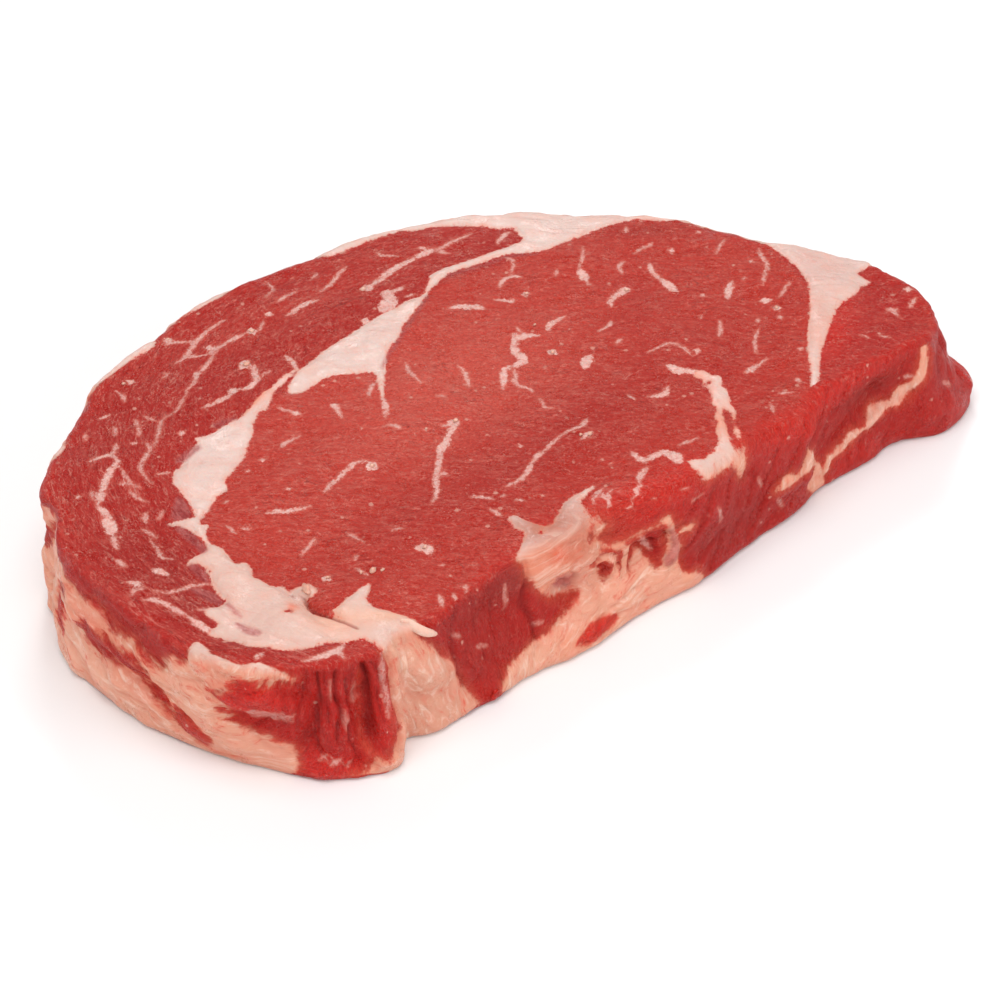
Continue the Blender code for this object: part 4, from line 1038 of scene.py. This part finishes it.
def build_mesh(name, points, faces, attributes, distance, region):
    """A mesh from arrays of points and faces, with colours and vectors kept at its points, and the
    fibre places at its faces' corners, so that they part cleanly where two muscles meet. A face whose
    last two corners are the same is a triangle."""
    mesh = bpy.data.meshes.new(name)
    triangle = faces[:, 2] == faces[:, 3]
    sizes = np.where(triangle, 3, 4)
    keep = np.ones(faces.shape, bool)
    keep[triangle, 3] = False
    mesh.vertices.add(len(points))
    mesh.vertices.foreach_set("co", (points * MM).astype(np.float32).ravel())
    mesh.loops.add(int(sizes.sum()))
    mesh.loops.foreach_set("vertex_index", faces[keep].astype(np.int32))
    mesh.polygons.add(len(faces))
    mesh.polygons.foreach_set("loop_start", np.concatenate([[0], np.cumsum(sizes)[:-1]]).astype(np.int32))
    mesh.update(calc_edges=True)
    for label, values in attributes.items():
        layer = mesh.attributes.new(label, "FLOAT_VECTOR", "POINT")
        layer.data.foreach_set("vector", np.ascontiguousarray(values, np.float32).ravel())
    first, corner = np.repeat(faces[:, 0], sizes), faces[keep]
    gap = (distance[corner] - distance[first] + around / 2.0) % around - around / 2.0
    grain = fibre_places(points[corner], distance[first] + gap, np.repeat(region[faces].max(axis=1), sizes))
    layer = mesh.attributes.new("grain", "FLOAT_VECTOR", "CORNER")
    layer.data.foreach_set("vector", grain.astype(np.float32).ravel())
    mesh.shade_smooth()
    return mesh


# From the tables' own zero to the frame's origin, the middle of the slice's box, in millimetres.
SHIFT = np.array([-2.50488571, 0.71077116, 0.0])


def flesh_marks(fat, side_gap, half, film, crack, wall, groove_shade, frayed):
    """The distances and amounts that the flesh is painted from, three to a vector."""
    return {
        "seam": np.column_stack([fat, side_gap, half]),
        "film": np.column_stack([film, crack, wall]),
        # The fold vector: painted shade of the grooves and folds, and how far the fat's border frays.
        "fold": np.column_stack([groove_shade, frayed, 0.0 * groove_shade]),
    }


# How far the fat's border frays on the wall, by the distance along the edge.
FRAYED = (
    (0, 0.8), (30, 0.8), (60, 1.7), (225, 1.7), (250, 1.2), (300, 1.2), (314, 0.8), (320, 0.3), (352, 0.5),
    (370, 0.4), (412, 0.3), (455, 0.25), (490, 0.3), (500, 0.8),
)
frayed = np.interp(along, *np.array(FRAYED, float).T) * wall
marks = flesh_marks(fat, vein_side, vein_half, film, crack, wall, groove_shade, frayed)
marks.update({"lean_tone": lean_tone, "fat_tone": fat_tone})
mesh = build_mesh("ribeye_flesh", points + SHIFT, faces, marks, along, region)


def add(tree, kind, inputs=None, **settings):
    """A node with its settings, and its inputs linked from other nodes' sockets or set to values."""
    made = tree.nodes.new(kind)
    for name, value in settings.items():
        setattr(made, name, value)
    for name, value in (inputs or {}).items():
        if isinstance(value, bpy.types.NodeSocket):
            tree.links.new(value, made.inputs[name])
        else:
            made.inputs[name].default_value = value
    return made


def calc(tree, operation, a, b=0.0, c=0.0):
    """One step of arithmetic."""
    return add(tree, "ShaderNodeMath", {0: a, 1: b, 2: c}, operation=operation).outputs[0]


def times(tree, a, b):
    """The product of two values."""
    return calc(tree, "MULTIPLY", a, b)


def blend(tree, factor, a, b):
    """Colour a where the factor is 0, and b where it is 1."""
    return add(tree, "ShaderNodeMix", {0: factor, 6: a, 7: b}, data_type="RGBA").outputs[2]


def mix(tree, factor, a, b):
    """Value a where the factor is 0, and b where it is 1."""
    return add(tree, "ShaderNodeMix", {0: factor, 2: a, 3: b}, data_type="FLOAT").outputs[0]


def step(tree, value, low, high, to_low=0.0, to_high=1.0):
    """A smooth step of a value from low to high."""
    return add(
        tree, "ShaderNodeMapRange", {0: value, 1: low, 2: high, 3: to_low, 4: to_high},
        interpolation_type="SMOOTHSTEP",
    ).outputs[0]


def noise(tree, place, scale, detail=2.0, roughness=0.5, distortion=0.0):
    """Soft noise around 0.5 at a place in millimetres, with its features per millimetre."""
    inputs = {"Vector": place, "Scale": scale, "Detail": detail, "Roughness": roughness}
    return add(tree, "ShaderNodeTexNoise", {**inputs, "Distortion": distortion}).outputs[0]


def stretched(tree, place, factors):
    """A place scaled by its own factor along each axis."""
    return add(tree, "ShaderNodeMapping", {"Vector": place, "Scale": factors}).outputs[0]


def kept(tree, name, output="Vector"):
    """What the mesh keeps at its points under a name."""
    return add(tree, "ShaderNodeAttribute", attribute_name=name).outputs[output]


def apart(tree, vector):
    """The three values of a vector."""
    return add(tree, "ShaderNodeSeparateXYZ", {0: vector}).outputs


def rgba(red, green, blue):
    """A screen colour as a shader socket takes it."""
    return (*linear(red, green, blue), 1.0)


# Screen colours of the finer marks in the lean, the veins, the fat, the membranes and the folds.
# Pink haze: partly the lean's own milky pink, partly painted sheen.
SHEEN_AND_HAZE_PINK = rgba(212, 106, 90)
# Painted shade in the hollows of the fibre relief.
FIBRE_SHADE = rgba(138, 14, 8)
STREAK_SHADE = rgba(140, 12, 6)
SPECKLE_PINK = rgba(230, 142, 124)
WEB_PINK = rgba(228, 156, 138)
FLECK_PINK = rgba(228, 142, 126)
DOT_CREAM = rgba(230, 168, 150)
# Painted shade of the fine fissures.
FISSURE_SHADE = rgba(112, 10, 6)
SOAKED_ORANGE = rgba(216, 96, 68)
VEIN_HAZE = rgba(216, 118, 100)
VEIN_PINK = rgba(230, 150, 136)
VEIN_CREAM = rgba(244, 200, 190)
FAT_PINK = rgba(226, 150, 128)
FAT_PALE = rgba(240, 212, 194)
FAT_STAIN = rgba(208, 74, 46)
FAT_BORDER = rgba(220, 124, 94)
FILM_DARK = rgba(148, 50, 50)
FILM_PALE = rgba(190, 104, 100)
# Painted shade in the folds and grooves, on lean and on fat.
LEAN_FOLD_SHADE = rgba(138, 9, 4)
FAT_FOLD_SHADE = rgba(200, 88, 60)
# Painted shade in the crack.
CRACK_SHADE = rgba(140, 40, 24)

flesh = bpy.data.materials.new("raw_beef")
flesh.use_nodes = True
tree = flesh.node_tree
shader = tree.nodes["Principled BSDF"]
shader.inputs["IOR"].default_value = 1.36
shader.inputs["Specular IOR Level"].default_value = 0.5
shader.inputs["Subsurface Weight"].default_value = 0.18
shader.inputs["Subsurface Radius"].default_value = (1.0, 0.28, 0.18)
shader.inputs["Subsurface Scale"].default_value = 0.0016

place = stretched(tree, add(tree, "ShaderNodeTexCoord").outputs["Object"], (1000.0, 1000.0, 1000.0))
fibre = kept(tree, "grain")
seam_depth, vein_gap_signed, vein_size = apart(tree, kept(tree, "seam"))
film_depth, crack_gap, sideways = apart(tree, kept(tree, "film"))
groove_shading, frayed_by, _ = apart(tree, kept(tree, "fold"))
lean = kept(tree, "lean_tone", "Color")
cream = kept(tree, "fat_tone", "Color")

# Borders of the fat: wavering by a third of a millimetre on the face, and frayed along the fibres by
# more on the wall, where the two also soak into each other.
fray = noise(tree, stretched(tree, fibre, (0.14, 0.5, 1.0)), 1.0, 4.0, 0.6)
fray = calc(tree, "MULTIPLY_ADD", fray, 7.0, -3.5)
ragged = calc(tree, "MULTIPLY_ADD", noise(tree, place, 0.8, 4.0, 0.7), 2.0, -1.0)
fat_depth = calc(tree, "ADD", seam_depth, calc(tree, "MULTIPLY_ADD", fray, frayed_by, ragged))
fat_mask = step(tree, fat_depth, mix(tree, frayed_by, -0.20, -0.8), mix(tree, frayed_by, 0.22, 0.8))
soak = times(tree, step(tree, fat_depth, -2.2, 0.2), mix(tree, sideways, 0.0, 0.4))

# Marbling: the drawn veins, frayed and broken, with a haze of finer fat beside them.
waver = calc(tree, "MULTIPLY_ADD", noise(tree, place, 0.9, 5.0, 0.8), 3.2, -1.6)
vein_gap = calc(tree, "ABSOLUTE", calc(tree, "ADD", vein_gap_signed, waver))
swell = calc(tree, "MULTIPLY_ADD", noise(tree, place, 0.6, 4.0, 0.8), 3.0, -1.5)
swell = times(tree, swell, step(tree, vein_size, 0.0, 0.6, 0.34, 0.95))
vein_in = calc(tree, "SUBTRACT", calc(tree, "MULTIPLY_ADD", vein_size, 1.35, swell), vein_gap)
vein_mask = step(tree, vein_in, -0.36, 0.36)
vein_mask = times(tree, vein_mask, step(tree, vein_size, -0.05, 0.6, 0.55, 0.95))
vein_mask = times(tree, vein_mask, mix(tree, sideways, 1.0, 0.6))
vein_haze = times(tree, step(tree, vein_in, -1.6, 0.1), 0.42)

# Lean: dark between the fibres, which is painted shade in the hollows of the fibre relief, and hazy
# pink on them, partly the lean's own milky pink and partly painted sheen, stronger on the face than on
# the wall; with webs and dots of fat. The pink is weaker where the lean's own red is deep.
blotch = noise(tree, place, 0.08, 4.0, 0.62)
streaks = noise(tree, stretched(tree, fibre, (0.34, 1.05, 1.0)), 1.0, 5.0, 0.72, 0.9)
fine = noise(tree, stretched(tree, fibre, (1.5, 4.0, 1.0)), 1.0, 3.0, 0.7, 0.6)
speckle = noise(tree, place, 1.6, 4.0, 0.80)
# Partly painted sheen: the pink haze lies on the raised fibres and is stronger on the face than on the
# wall.
sheen_and_haze = times(tree, step(tree, streaks, 0.42, 0.64), step(tree, blotch, 0.36, 0.64, 0.30, 1.0))
sheen_and_haze = times(tree, sheen_and_haze, mix(tree, sideways, 0.62, 0.12))
pallor = add(tree, "ShaderNodeSeparateColor", {0: lean}).outputs[1]
pallor = step(tree, pallor, 0.003, 0.045, 0.62, 1.18)
sheen_and_haze = times(tree, sheen_and_haze, pallor)
lean_colour = blend(tree, sheen_and_haze, lean, SHEEN_AND_HAZE_PINK)
# Painted shade: the dark fibres and streaks lie in the hollows of the bump below.
fibre_shade = times(tree, step(tree, fine, 0.36, 0.56, 1.0, 0.0), 0.46)
lean_colour = blend(tree, fibre_shade, lean_colour, FIBRE_SHADE)
streak_shade = times(tree, step(tree, streaks, 0.28, 0.47, 1.0, 0.0), mix(tree, sideways, 0.36, 0.60))
lean_colour = blend(tree, streak_shade, lean_colour, STREAK_SHADE)
pale_speckle = times(tree, step(tree, speckle, 0.54, 0.74), mix(tree, sideways, 0.50, 0.12))
pale_speckle = times(tree, pale_speckle, pallor)
lean_colour = blend(tree, pale_speckle, lean_colour, SPECKLE_PINK)
muscle = apart(tree, fibre)[2]
past_eye = calc(tree, "GREATER_THAN", muscle, 0.5 * REGION_GAP)
on_cap = times(tree, past_eye, calc(tree, "LESS_THAN", muscle, 1.5 * REGION_GAP))
webs = noise(tree, stretched(tree, fibre, (0.15, 0.42, 1.0)), 1.0, 4.0, 0.6, 0.8)
webs = calc(tree, "ABSOLUTE", calc(tree, "SUBTRACT", webs, 0.5))
# Fissures: thin dark red lines, painted shade of fine cracks that the mesh does not have.
fissure_shade = noise(tree, stretched(tree, fibre, (0.11, 0.34, 1.0)), 1.0, 4.0, 0.6, 0.5)
fissure_shade = step(tree, calc(tree, "ABSOLUTE", calc(tree, "SUBTRACT", fissure_shade, 0.42)), 0.002, 0.014, 1.0, 0.0)
fissure_shade = times(tree, fissure_shade, step(tree, blotch, 0.52, 0.60))
fissure_shade = times(tree, fissure_shade, mix(tree, sideways, 0.55, 0.2))
web_place = calc(tree, "MULTIPLY_ADD", on_cap, 0.07, noise(tree, place, 0.15, 3.0, 0.6))
web_patches = step(tree, web_place, 0.46, 0.64)
web_size = mix(tree, on_cap, 0.012, 0.020)
web_mask = times(tree, step(tree, webs, 0.0, web_size, 1.0, 0.0), web_patches)
web_mask = times(tree, web_mask, step(tree, speckle, 0.30, 0.60))
web_mask = times(tree, web_mask, mix(tree, sideways, 0.60, 0.25))
lean_colour = blend(tree, web_mask, lean_colour, WEB_PINK)
flecks = step(tree, noise(tree, stretched(tree, fibre, (0.7, 1.7, 1.0)), 1.0, 3.0, 0.6, 1.5), 0.56, 0.66)
flecks = times(tree, flecks, mix(tree, sideways, 0.40, 0.15))
lean_colour = blend(tree, flecks, lean_colour, FLECK_PINK)
dots = add(tree, "ShaderNodeTexVoronoi", {"Vector": place, "Scale": 0.42})
choice = add(tree, "ShaderNodeSeparateColor", {0: dots.outputs["Color"]})
dot_size = step(tree, choice.outputs[1], 0.0, 1.0, 0.05, 0.20)
dot_gap = calc(tree, "ADD", dots.outputs["Distance"], calc(tree, "MULTIPLY_ADD", speckle, 0.5, -0.25))
dot_mask = step(tree, calc(tree, "SUBTRACT", dot_size, dot_gap), -0.05, 0.07)
dot_mask = times(tree, dot_mask, step(tree, choice.outputs[0], 0.70, 0.80, 0.0, 0.65))
lean_colour = blend(tree, dot_mask, lean_colour, DOT_CREAM)
lean_colour = blend(tree, fissure_shade, lean_colour, FISSURE_SHADE)
lean_colour = blend(tree, soak, lean_colour, SOAKED_ORANGE)
lean_colour = blend(tree, vein_haze, lean_colour, VEIN_HAZE)
vein_tone = blend(tree, step(tree, speckle, 0.32, 0.60), VEIN_PINK, VEIN_CREAM)
lean_colour = blend(tree, vein_mask, lean_colour, vein_tone)

# Fat: cream with faint strands, redder towards its border, and on the wall stained along the folds.
fat_blotch = noise(tree, place, 0.26, 4.0, 0.62)
strands = noise(tree, stretched(tree, fibre, (0.15, 0.38, 1.0)), 1.0, 5.0, 0.66, 1.6)
stain = times(tree, step(tree, strands, 0.53, 0.70), mix(tree, sideways, 0.20, 0.85))
stain = times(tree, stain, step(tree, fat_blotch, 0.36, 0.62, 0.25, 1.0))
pink = times(tree, step(tree, fat_blotch, 0.42, 0.72), mix(tree, sideways, 0.28, 0.45))
fat_colour = blend(tree, pink, cream, FAT_PINK)
pale = times(tree, step(tree, strands, 0.30, 0.50, 1.0, 0.0), mix(tree, sideways, 0.10, 0.5))
fat_colour = blend(tree, pale, fat_colour, FAT_PALE)
fat_colour = blend(tree, stain, fat_colour, FAT_STAIN)
at_border = times(tree, step(tree, fat_depth, 0.0, 0.8, 1.0, 0.0), 0.4)
fat_colour = blend(tree, at_border, fat_colour, FAT_BORDER)

# Membranes over both, with painted shade in the folds, the grooves and the crack.
colour = blend(tree, fat_mask, lean_colour, fat_colour)
film_edge = calc(tree, "ADD", film_depth, times(tree, ragged, 0.5))
film_mask = times(tree, step(tree, film_edge, -0.45, 0.65), 0.74)
film_colour = blend(tree, step(tree, streaks, 0.34, 0.66), FILM_DARK, FILM_PALE)
colour = blend(tree, film_mask, colour, film_colour)
fold_shade_colour = blend(tree, fat_mask, LEAN_FOLD_SHADE, FAT_FOLD_SHADE)
colour = blend(tree, times(tree, step(tree, groove_shading, 0.15, 0.95), 0.62), colour, fold_shade_colour)
# Painted shade along the crack.
colour = blend(tree, step(tree, crack_gap, 0.1, 0.6, 0.6, 0.0), colour, CRACK_SHADE)
tree.links.new(colour, shader.inputs["Base Color"])

# Relief finer than the mesh: fibres and speckle in the lean, blotches and strands in the fat.
height = times(tree, streaks, 0.55)
height = calc(tree, "MULTIPLY_ADD", fine, 0.24, height)
height = calc(tree, "MULTIPLY_ADD", speckle, 0.34, height)
strand_height = times(tree, strands, mix(tree, sideways, 0.22, 0.45))
fat_height = calc(tree, "MULTIPLY_ADD", fat_blotch, 0.40, strand_height)
height = mix(tree, step(tree, seam_depth, -0.5, 0.5), height, fat_height)
bump = add(tree, "ShaderNodeBump", {"Height": height, "Distance": MM, "Strength": 1.0})
tree.links.new(bump.outputs[0], shader.inputs["Normal"])
wet = step(tree, noise(tree, place, 0.22, 3.0, 0.6), 0.40, 0.62, 0.48, 0.22)
roughness = calc(tree, "MULTIPLY_ADD", calc(tree, "SUBTRACT", speckle, 0.5), 0.5, wet)
tree.links.new(calc(tree, "MULTIPLY_ADD", fat_mask, 0.06, roughness), shader.inputs["Roughness"])

mesh.materials.append(flesh)
steak = bpy.data.objects.new("ribeye_flesh", mesh)
bpy.context.scene.collection.objects.link(steak)
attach(steak, "root")
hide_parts("ribeye_steak")


# Shreds. Where the knife tore the slice, a flap of fat and a tag of lean hang from its edge: blunt
# strips of the same flesh that lie against the wall.

# Each shred: fat or not, the half width at its root, then the line it follows along the edge, by the
# share of the height, with how far it stands out.
SHREDS = (
    (1, 1.0, (340.2, 1.02, -0.3), (342.4, 0.98, 0.0), (344.4, 0.93, 0.2), (346.6, 0.87, 0.2)),
    (0, 0.9, (360.6, 0.12, -0.3), (359.6, 0.07, 0.1), (358.2, 0.05, 0.1)),
)
# Points round a strip, and rings along it.
ROUND = 8
LENGTHS = 14


def shred(half_width, line):
    """Points and faces of one strip: an oval swept along a smooth line on the wall, whose half width
    falls with the seventh power of the way along, so that its tip is blunt."""
    path = open_curve(line, 6)
    path = path[np.linspace(0, len(path) - 1, LENGTHS).round().astype(int)]
    distance, share, out = path.T
    rim, normal, foot_out, _ = rim_stations(distance)
    crest = face_height(*(rim - normal * EDGE_ROUND).T)
    lean_out = foot_out * (1.0 - share) + wall_swell(distance, share, around)
    over_edge = ((crest * share - crest + EDGE_ROUND) / EDGE_ROUND).clip(0, 1)
    round_over = np.sqrt(np.clip(1.0 - over_edge**2, 0, 1))
    lean_out = lean_out - EDGE_ROUND * (1.0 - round_over)
    middle = np.column_stack([rim + normal * (lean_out + out)[:, None], (crest * share).clip(0.5, None)])
    ahead = np.gradient(middle, axis=0)
    ahead /= np.linalg.norm(ahead, axis=1)[:, None]
    up = np.column_stack([normal, np.zeros(LENGTHS)])
    across = np.cross(ahead, up)
    across /= np.linalg.norm(across, axis=1)[:, None]
    up = np.cross(across, ahead)
    left = np.linspace(0.0, 1.0, LENGTHS)
    wide = half_width * np.clip(1.0 - left**7, 0.0, 1.0) * ease(-0.15, 0.3, left) + 0.02
    turn = np.linspace(0.0, 2.0 * np.pi, ROUND, endpoint=False)
    ring = (wide[:, None] * np.cos(turn))[..., None] * across[:, None]
    ring = ring + (0.5 * wide[:, None] * np.sin(turn))[..., None] * up[:, None]
    points = (middle[:, None] + ring).reshape(-1, 3)
    return points, tube_faces(LENGTHS, ROUND), np.repeat(distance, ROUND)


def tube_faces(lengths, around_it):
    """Four-cornered faces of a tube of rings, with its two ends closed by strips across them."""
    here = np.arange(lengths * around_it).reshape(lengths, around_it)
    after = np.roll(here, -1, axis=1)
    walls = np.stack([here[:-1], here[1:], after[1:], after[:-1]], axis=-1).reshape(-1, 4)
    k = np.arange(around_it // 2 - 1)
    near = np.column_stack([k, k + 1, around_it - 2 - k, around_it - 1 - k])
    far = near[:, ::-1] + (lengths - 1) * around_it
    return np.concatenate([walls, near, far])


def joined(parts):
    """Several lots of points and faces as one, each lot's faces counting on from the last."""
    starts = np.cumsum([0] + [len(part[0]) for part in parts[:-1]])
    return np.concatenate([p[0] for p in parts]), np.concatenate([p[1] + n for p, n in zip(parts, starts)])


def loose_piece(name, parts, fatty, distances, tones):
    """A piece of loose flesh in one mesh, painted as all fat or all lean."""
    points, faces = joined(parts)
    sizes = [len(part[0]) for part in parts]
    fatty = np.repeat(np.array(fatty, float), sizes)
    far, ones, zeros = np.full(len(points), FAR), np.ones(len(points)), np.zeros(len(points))
    marks = flesh_marks((2.0 * fatty - 1.0) * FAR, far, -far, -far, far, ones, zeros, zeros)
    for label, tone in zip(("lean_tone", "fat_tone"), tones):
        marks[label] = np.tile(tone, (len(points), 1))
    mesh = build_mesh(name, points + SHIFT, faces, marks, distances, np.full(len(points), 2))
    mesh.materials.append(flesh)
    made = bpy.data.objects.new(name, mesh)
    bpy.context.scene.collection.objects.link(made)
    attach(made, "root")


shreds = [shred(half_width, line) for _, half_width, *line in SHREDS]
loose_piece(
    "torn_shreds", shreds, [row[0] for row in SHREDS], np.concatenate([part[2] for part in shreds]),
    (linear(196, 30, 14), linear(226, 184, 166)),
)


# Crumbs of fat. The saw leaves small grains of fat and bone fat on the cut face: soft pale lumps, from
# half a millimetre to three, lying on the lean.

# Each crumb: its place on the face, half length, half width, height and turn in degrees.
CRUMBS = (
    (-65.4, -35.0, 2.3, 1.2, 1.0, 70), (-52.2, -37.8, 1.1, 0.8, 0.8, 20), (-54.4, -36.9, 0.6, 0.4, 0.5, 60),
    (-50.8, -38.8, 0.6, 0.4, 0.5, 0), (-33.8, -10.5, 0.8, 0.6, 0.6, 0), (-39.9, -37.2, 0.8, 0.6, 0.5, 40),
    (17.9, -0.2, 0.8, 0.6, 0.5, 20), (6.9, -27.4, 0.9, 0.5, 0.5, 10), (5.2, -26.6, 0.5, 0.4, 0.5, 0),
    (-35.6, 31.9, 1.3, 0.7, 0.6, 20), (-27.8, 42.1, 0.9, 0.7, 0.5, 0), (26.8, 20.8, 0.7, 0.5, 0.4, 0),
    (44.5, 9.5, 0.8, 0.6, 0.4, 30), (20.6, 9.6, 0.4, 0.3, 0.4, 0), (-60.6, -34.9, 0.7, 0.5, 0.5, 0),
    (-11.8, -7.8, 0.8, 0.6, 0.5, 0), (66.6, -13.1, 0.7, 0.6, 0.5, 0), (-0.2, 41.9, 1.0, 0.8, 0.5, 0),
    (-59.0, 41.4, 0.6, 0.4, 0.4, 0), (-43.5, 49.5, 0.5, 0.4, 0.4, 0), (-18.4, -7.0, 0.4, 0.3, 0.4, 0),
)
# The rings of a crumb, the size at which the table's crumbs are made, how lumpy they are, how much of
# the height is lifted off the face, and the place along the edge that their marks are read from.
CRUMB_RINGS = 7
CRUMB_SIZE = 0.7
CRUMB_ROUGHNESS = 0.45
CRUMB_LIFT = 0.25
CRUMB_WALL_PLACE = 100.0


def crumb(x, y, half_length, half_width, height, turn):
    """Points and faces of one lump: a squat ball of rings, with its surface pushed in and out by a
    smooth random field, turned and set down with its lower part under the face."""
    rise = np.linspace(-np.pi / 2, np.pi / 2, CRUMB_RINGS)[:, None]
    spin = np.linspace(0.0, 2.0 * np.pi, ROUND, endpoint=False)[None]
    ball = [np.cos(rise) * np.cos(spin), np.cos(rise) * np.sin(spin), np.sin(rise) + 0 * spin]
    ball = np.stack(ball, axis=-1).reshape(-1, 3)
    swell = CRUMB_ROUGHNESS * lattice_noise(ball * 1.9 + np.array([x, y, 0.0]), 9)
    ball = ball * (1.0 + swell)[:, None]
    ball[:ROUND, :2] *= 0.3
    ball[-ROUND:, :2] *= 0.3
    c, s = np.cos(np.radians(turn)), np.sin(np.radians(turn))
    right, ahead, up = (ball * np.array([half_length, half_width, height]) * CRUMB_SIZE).T
    level = face_height(np.array([x]), np.array([y]))[0] + CRUMB_LIFT * height
    points = np.column_stack([x + right * c - ahead * s, y + right * s + ahead * c, level + up])
    return points, tube_faces(CRUMB_RINGS, ROUND)[:, ::-1]


crumbs = [crumb(*row) for row in CRUMBS]
crumb_distances = np.full(sum(len(part[0]) for part in crumbs), CRUMB_WALL_PLACE)
loose_piece(
    "fat_crumbs", crumbs, [1] * len(CRUMBS), crumb_distances,
    (linear(200, 48, 28), linear(214, 162, 142)),
)


# The table, the light and the camera: a pale floor under a white sky, with a broad soft lamp above,
# one in front, one at the left and a small one behind, and a long lens that looks down at the corner.

FLOOR_HALF = 3.0
floor_corners = [(a * FLOOR_HALF, b * FLOOR_HALF, 0) for a, b in ((-1, -1), (1, -1), (1, 1), (-1, 1))]
floor_mesh = bpy.data.meshes.new("floor")
floor_mesh.from_pydata(floor_corners, [], [(0, 1, 2, 3)])
floor_paint = bpy.data.materials.new("pale_floor")
floor_paint.use_nodes = True
floor_shader = floor_paint.node_tree.nodes["Principled BSDF"]
floor_shader.inputs["Base Color"].default_value = (0.9, 0.9, 0.9, 1.0)
floor_shader.inputs["Roughness"].default_value = 0.9
floor_mesh.materials.append(floor_paint)
floor = bpy.data.objects.new("floor", floor_mesh)
bpy.context.scene.collection.objects.link(floor)

world = bpy.data.worlds.new("studio")
world.use_nodes = True
sky = world.node_tree.nodes["Background"]
sky.inputs["Color"].default_value = (1.0, 1.0, 1.0, 1.0)
sky.inputs["Strength"].default_value = 0.34
bpy.context.scene.world = world
bpy.context.scene.view_settings.view_transform = "Standard"


def lamp(name, place, target, size, power):
    """A square soft lamp that faces its target."""
    light = bpy.data.lights.new(name, "AREA")
    light.size = size
    light.energy = power
    made = bpy.data.objects.new(name, light)
    made.location = place
    made.rotation_euler = (Vector(target) - Vector(place)).to_track_quat("-Z", "Y").to_euler()
    bpy.context.scene.collection.objects.link(made)


lamp("key", (-0.25, -0.20, 1.15), (0.0, 0.0, 0.0), 0.9, 8.2)
lamp("front", (0.45, -0.95, 0.50), (0.0, 0.0, 0.0), 0.5, 5.5)
lamp("left", (-1.05, -0.25, 0.50), (0.0, 0.0, 0.0), 0.7, 4.0)
lamp("glint", (0.52, 0.76, 0.80), (0.0, 0.0, 0.0), 0.3, 4.5)

VIEW_AZIMUTH = -36.0
VIEW_ELEVATION = 38.0
VIEW_DISTANCE = 0.720
VIEW_TARGET = Vector((-0.011505, -0.018289, 0.013))
azimuth, elevation = np.radians(VIEW_AZIMUTH), np.radians(VIEW_ELEVATION)
level = np.cos(elevation)
back = Vector((np.sin(azimuth) * level, -np.cos(azimuth) * level, np.sin(elevation)))
lens = bpy.data.cameras.new("camera")
lens.lens = 129.6
lens.sensor_width = 36.0
camera = bpy.data.objects.new("camera", lens)
camera.location = VIEW_TARGET + back * VIEW_DISTANCE
camera.rotation_euler = back.to_track_quat("Z", "Y").to_euler()
bpy.context.scene.collection.objects.link(camera)
bpy.context.scene.camera = camera
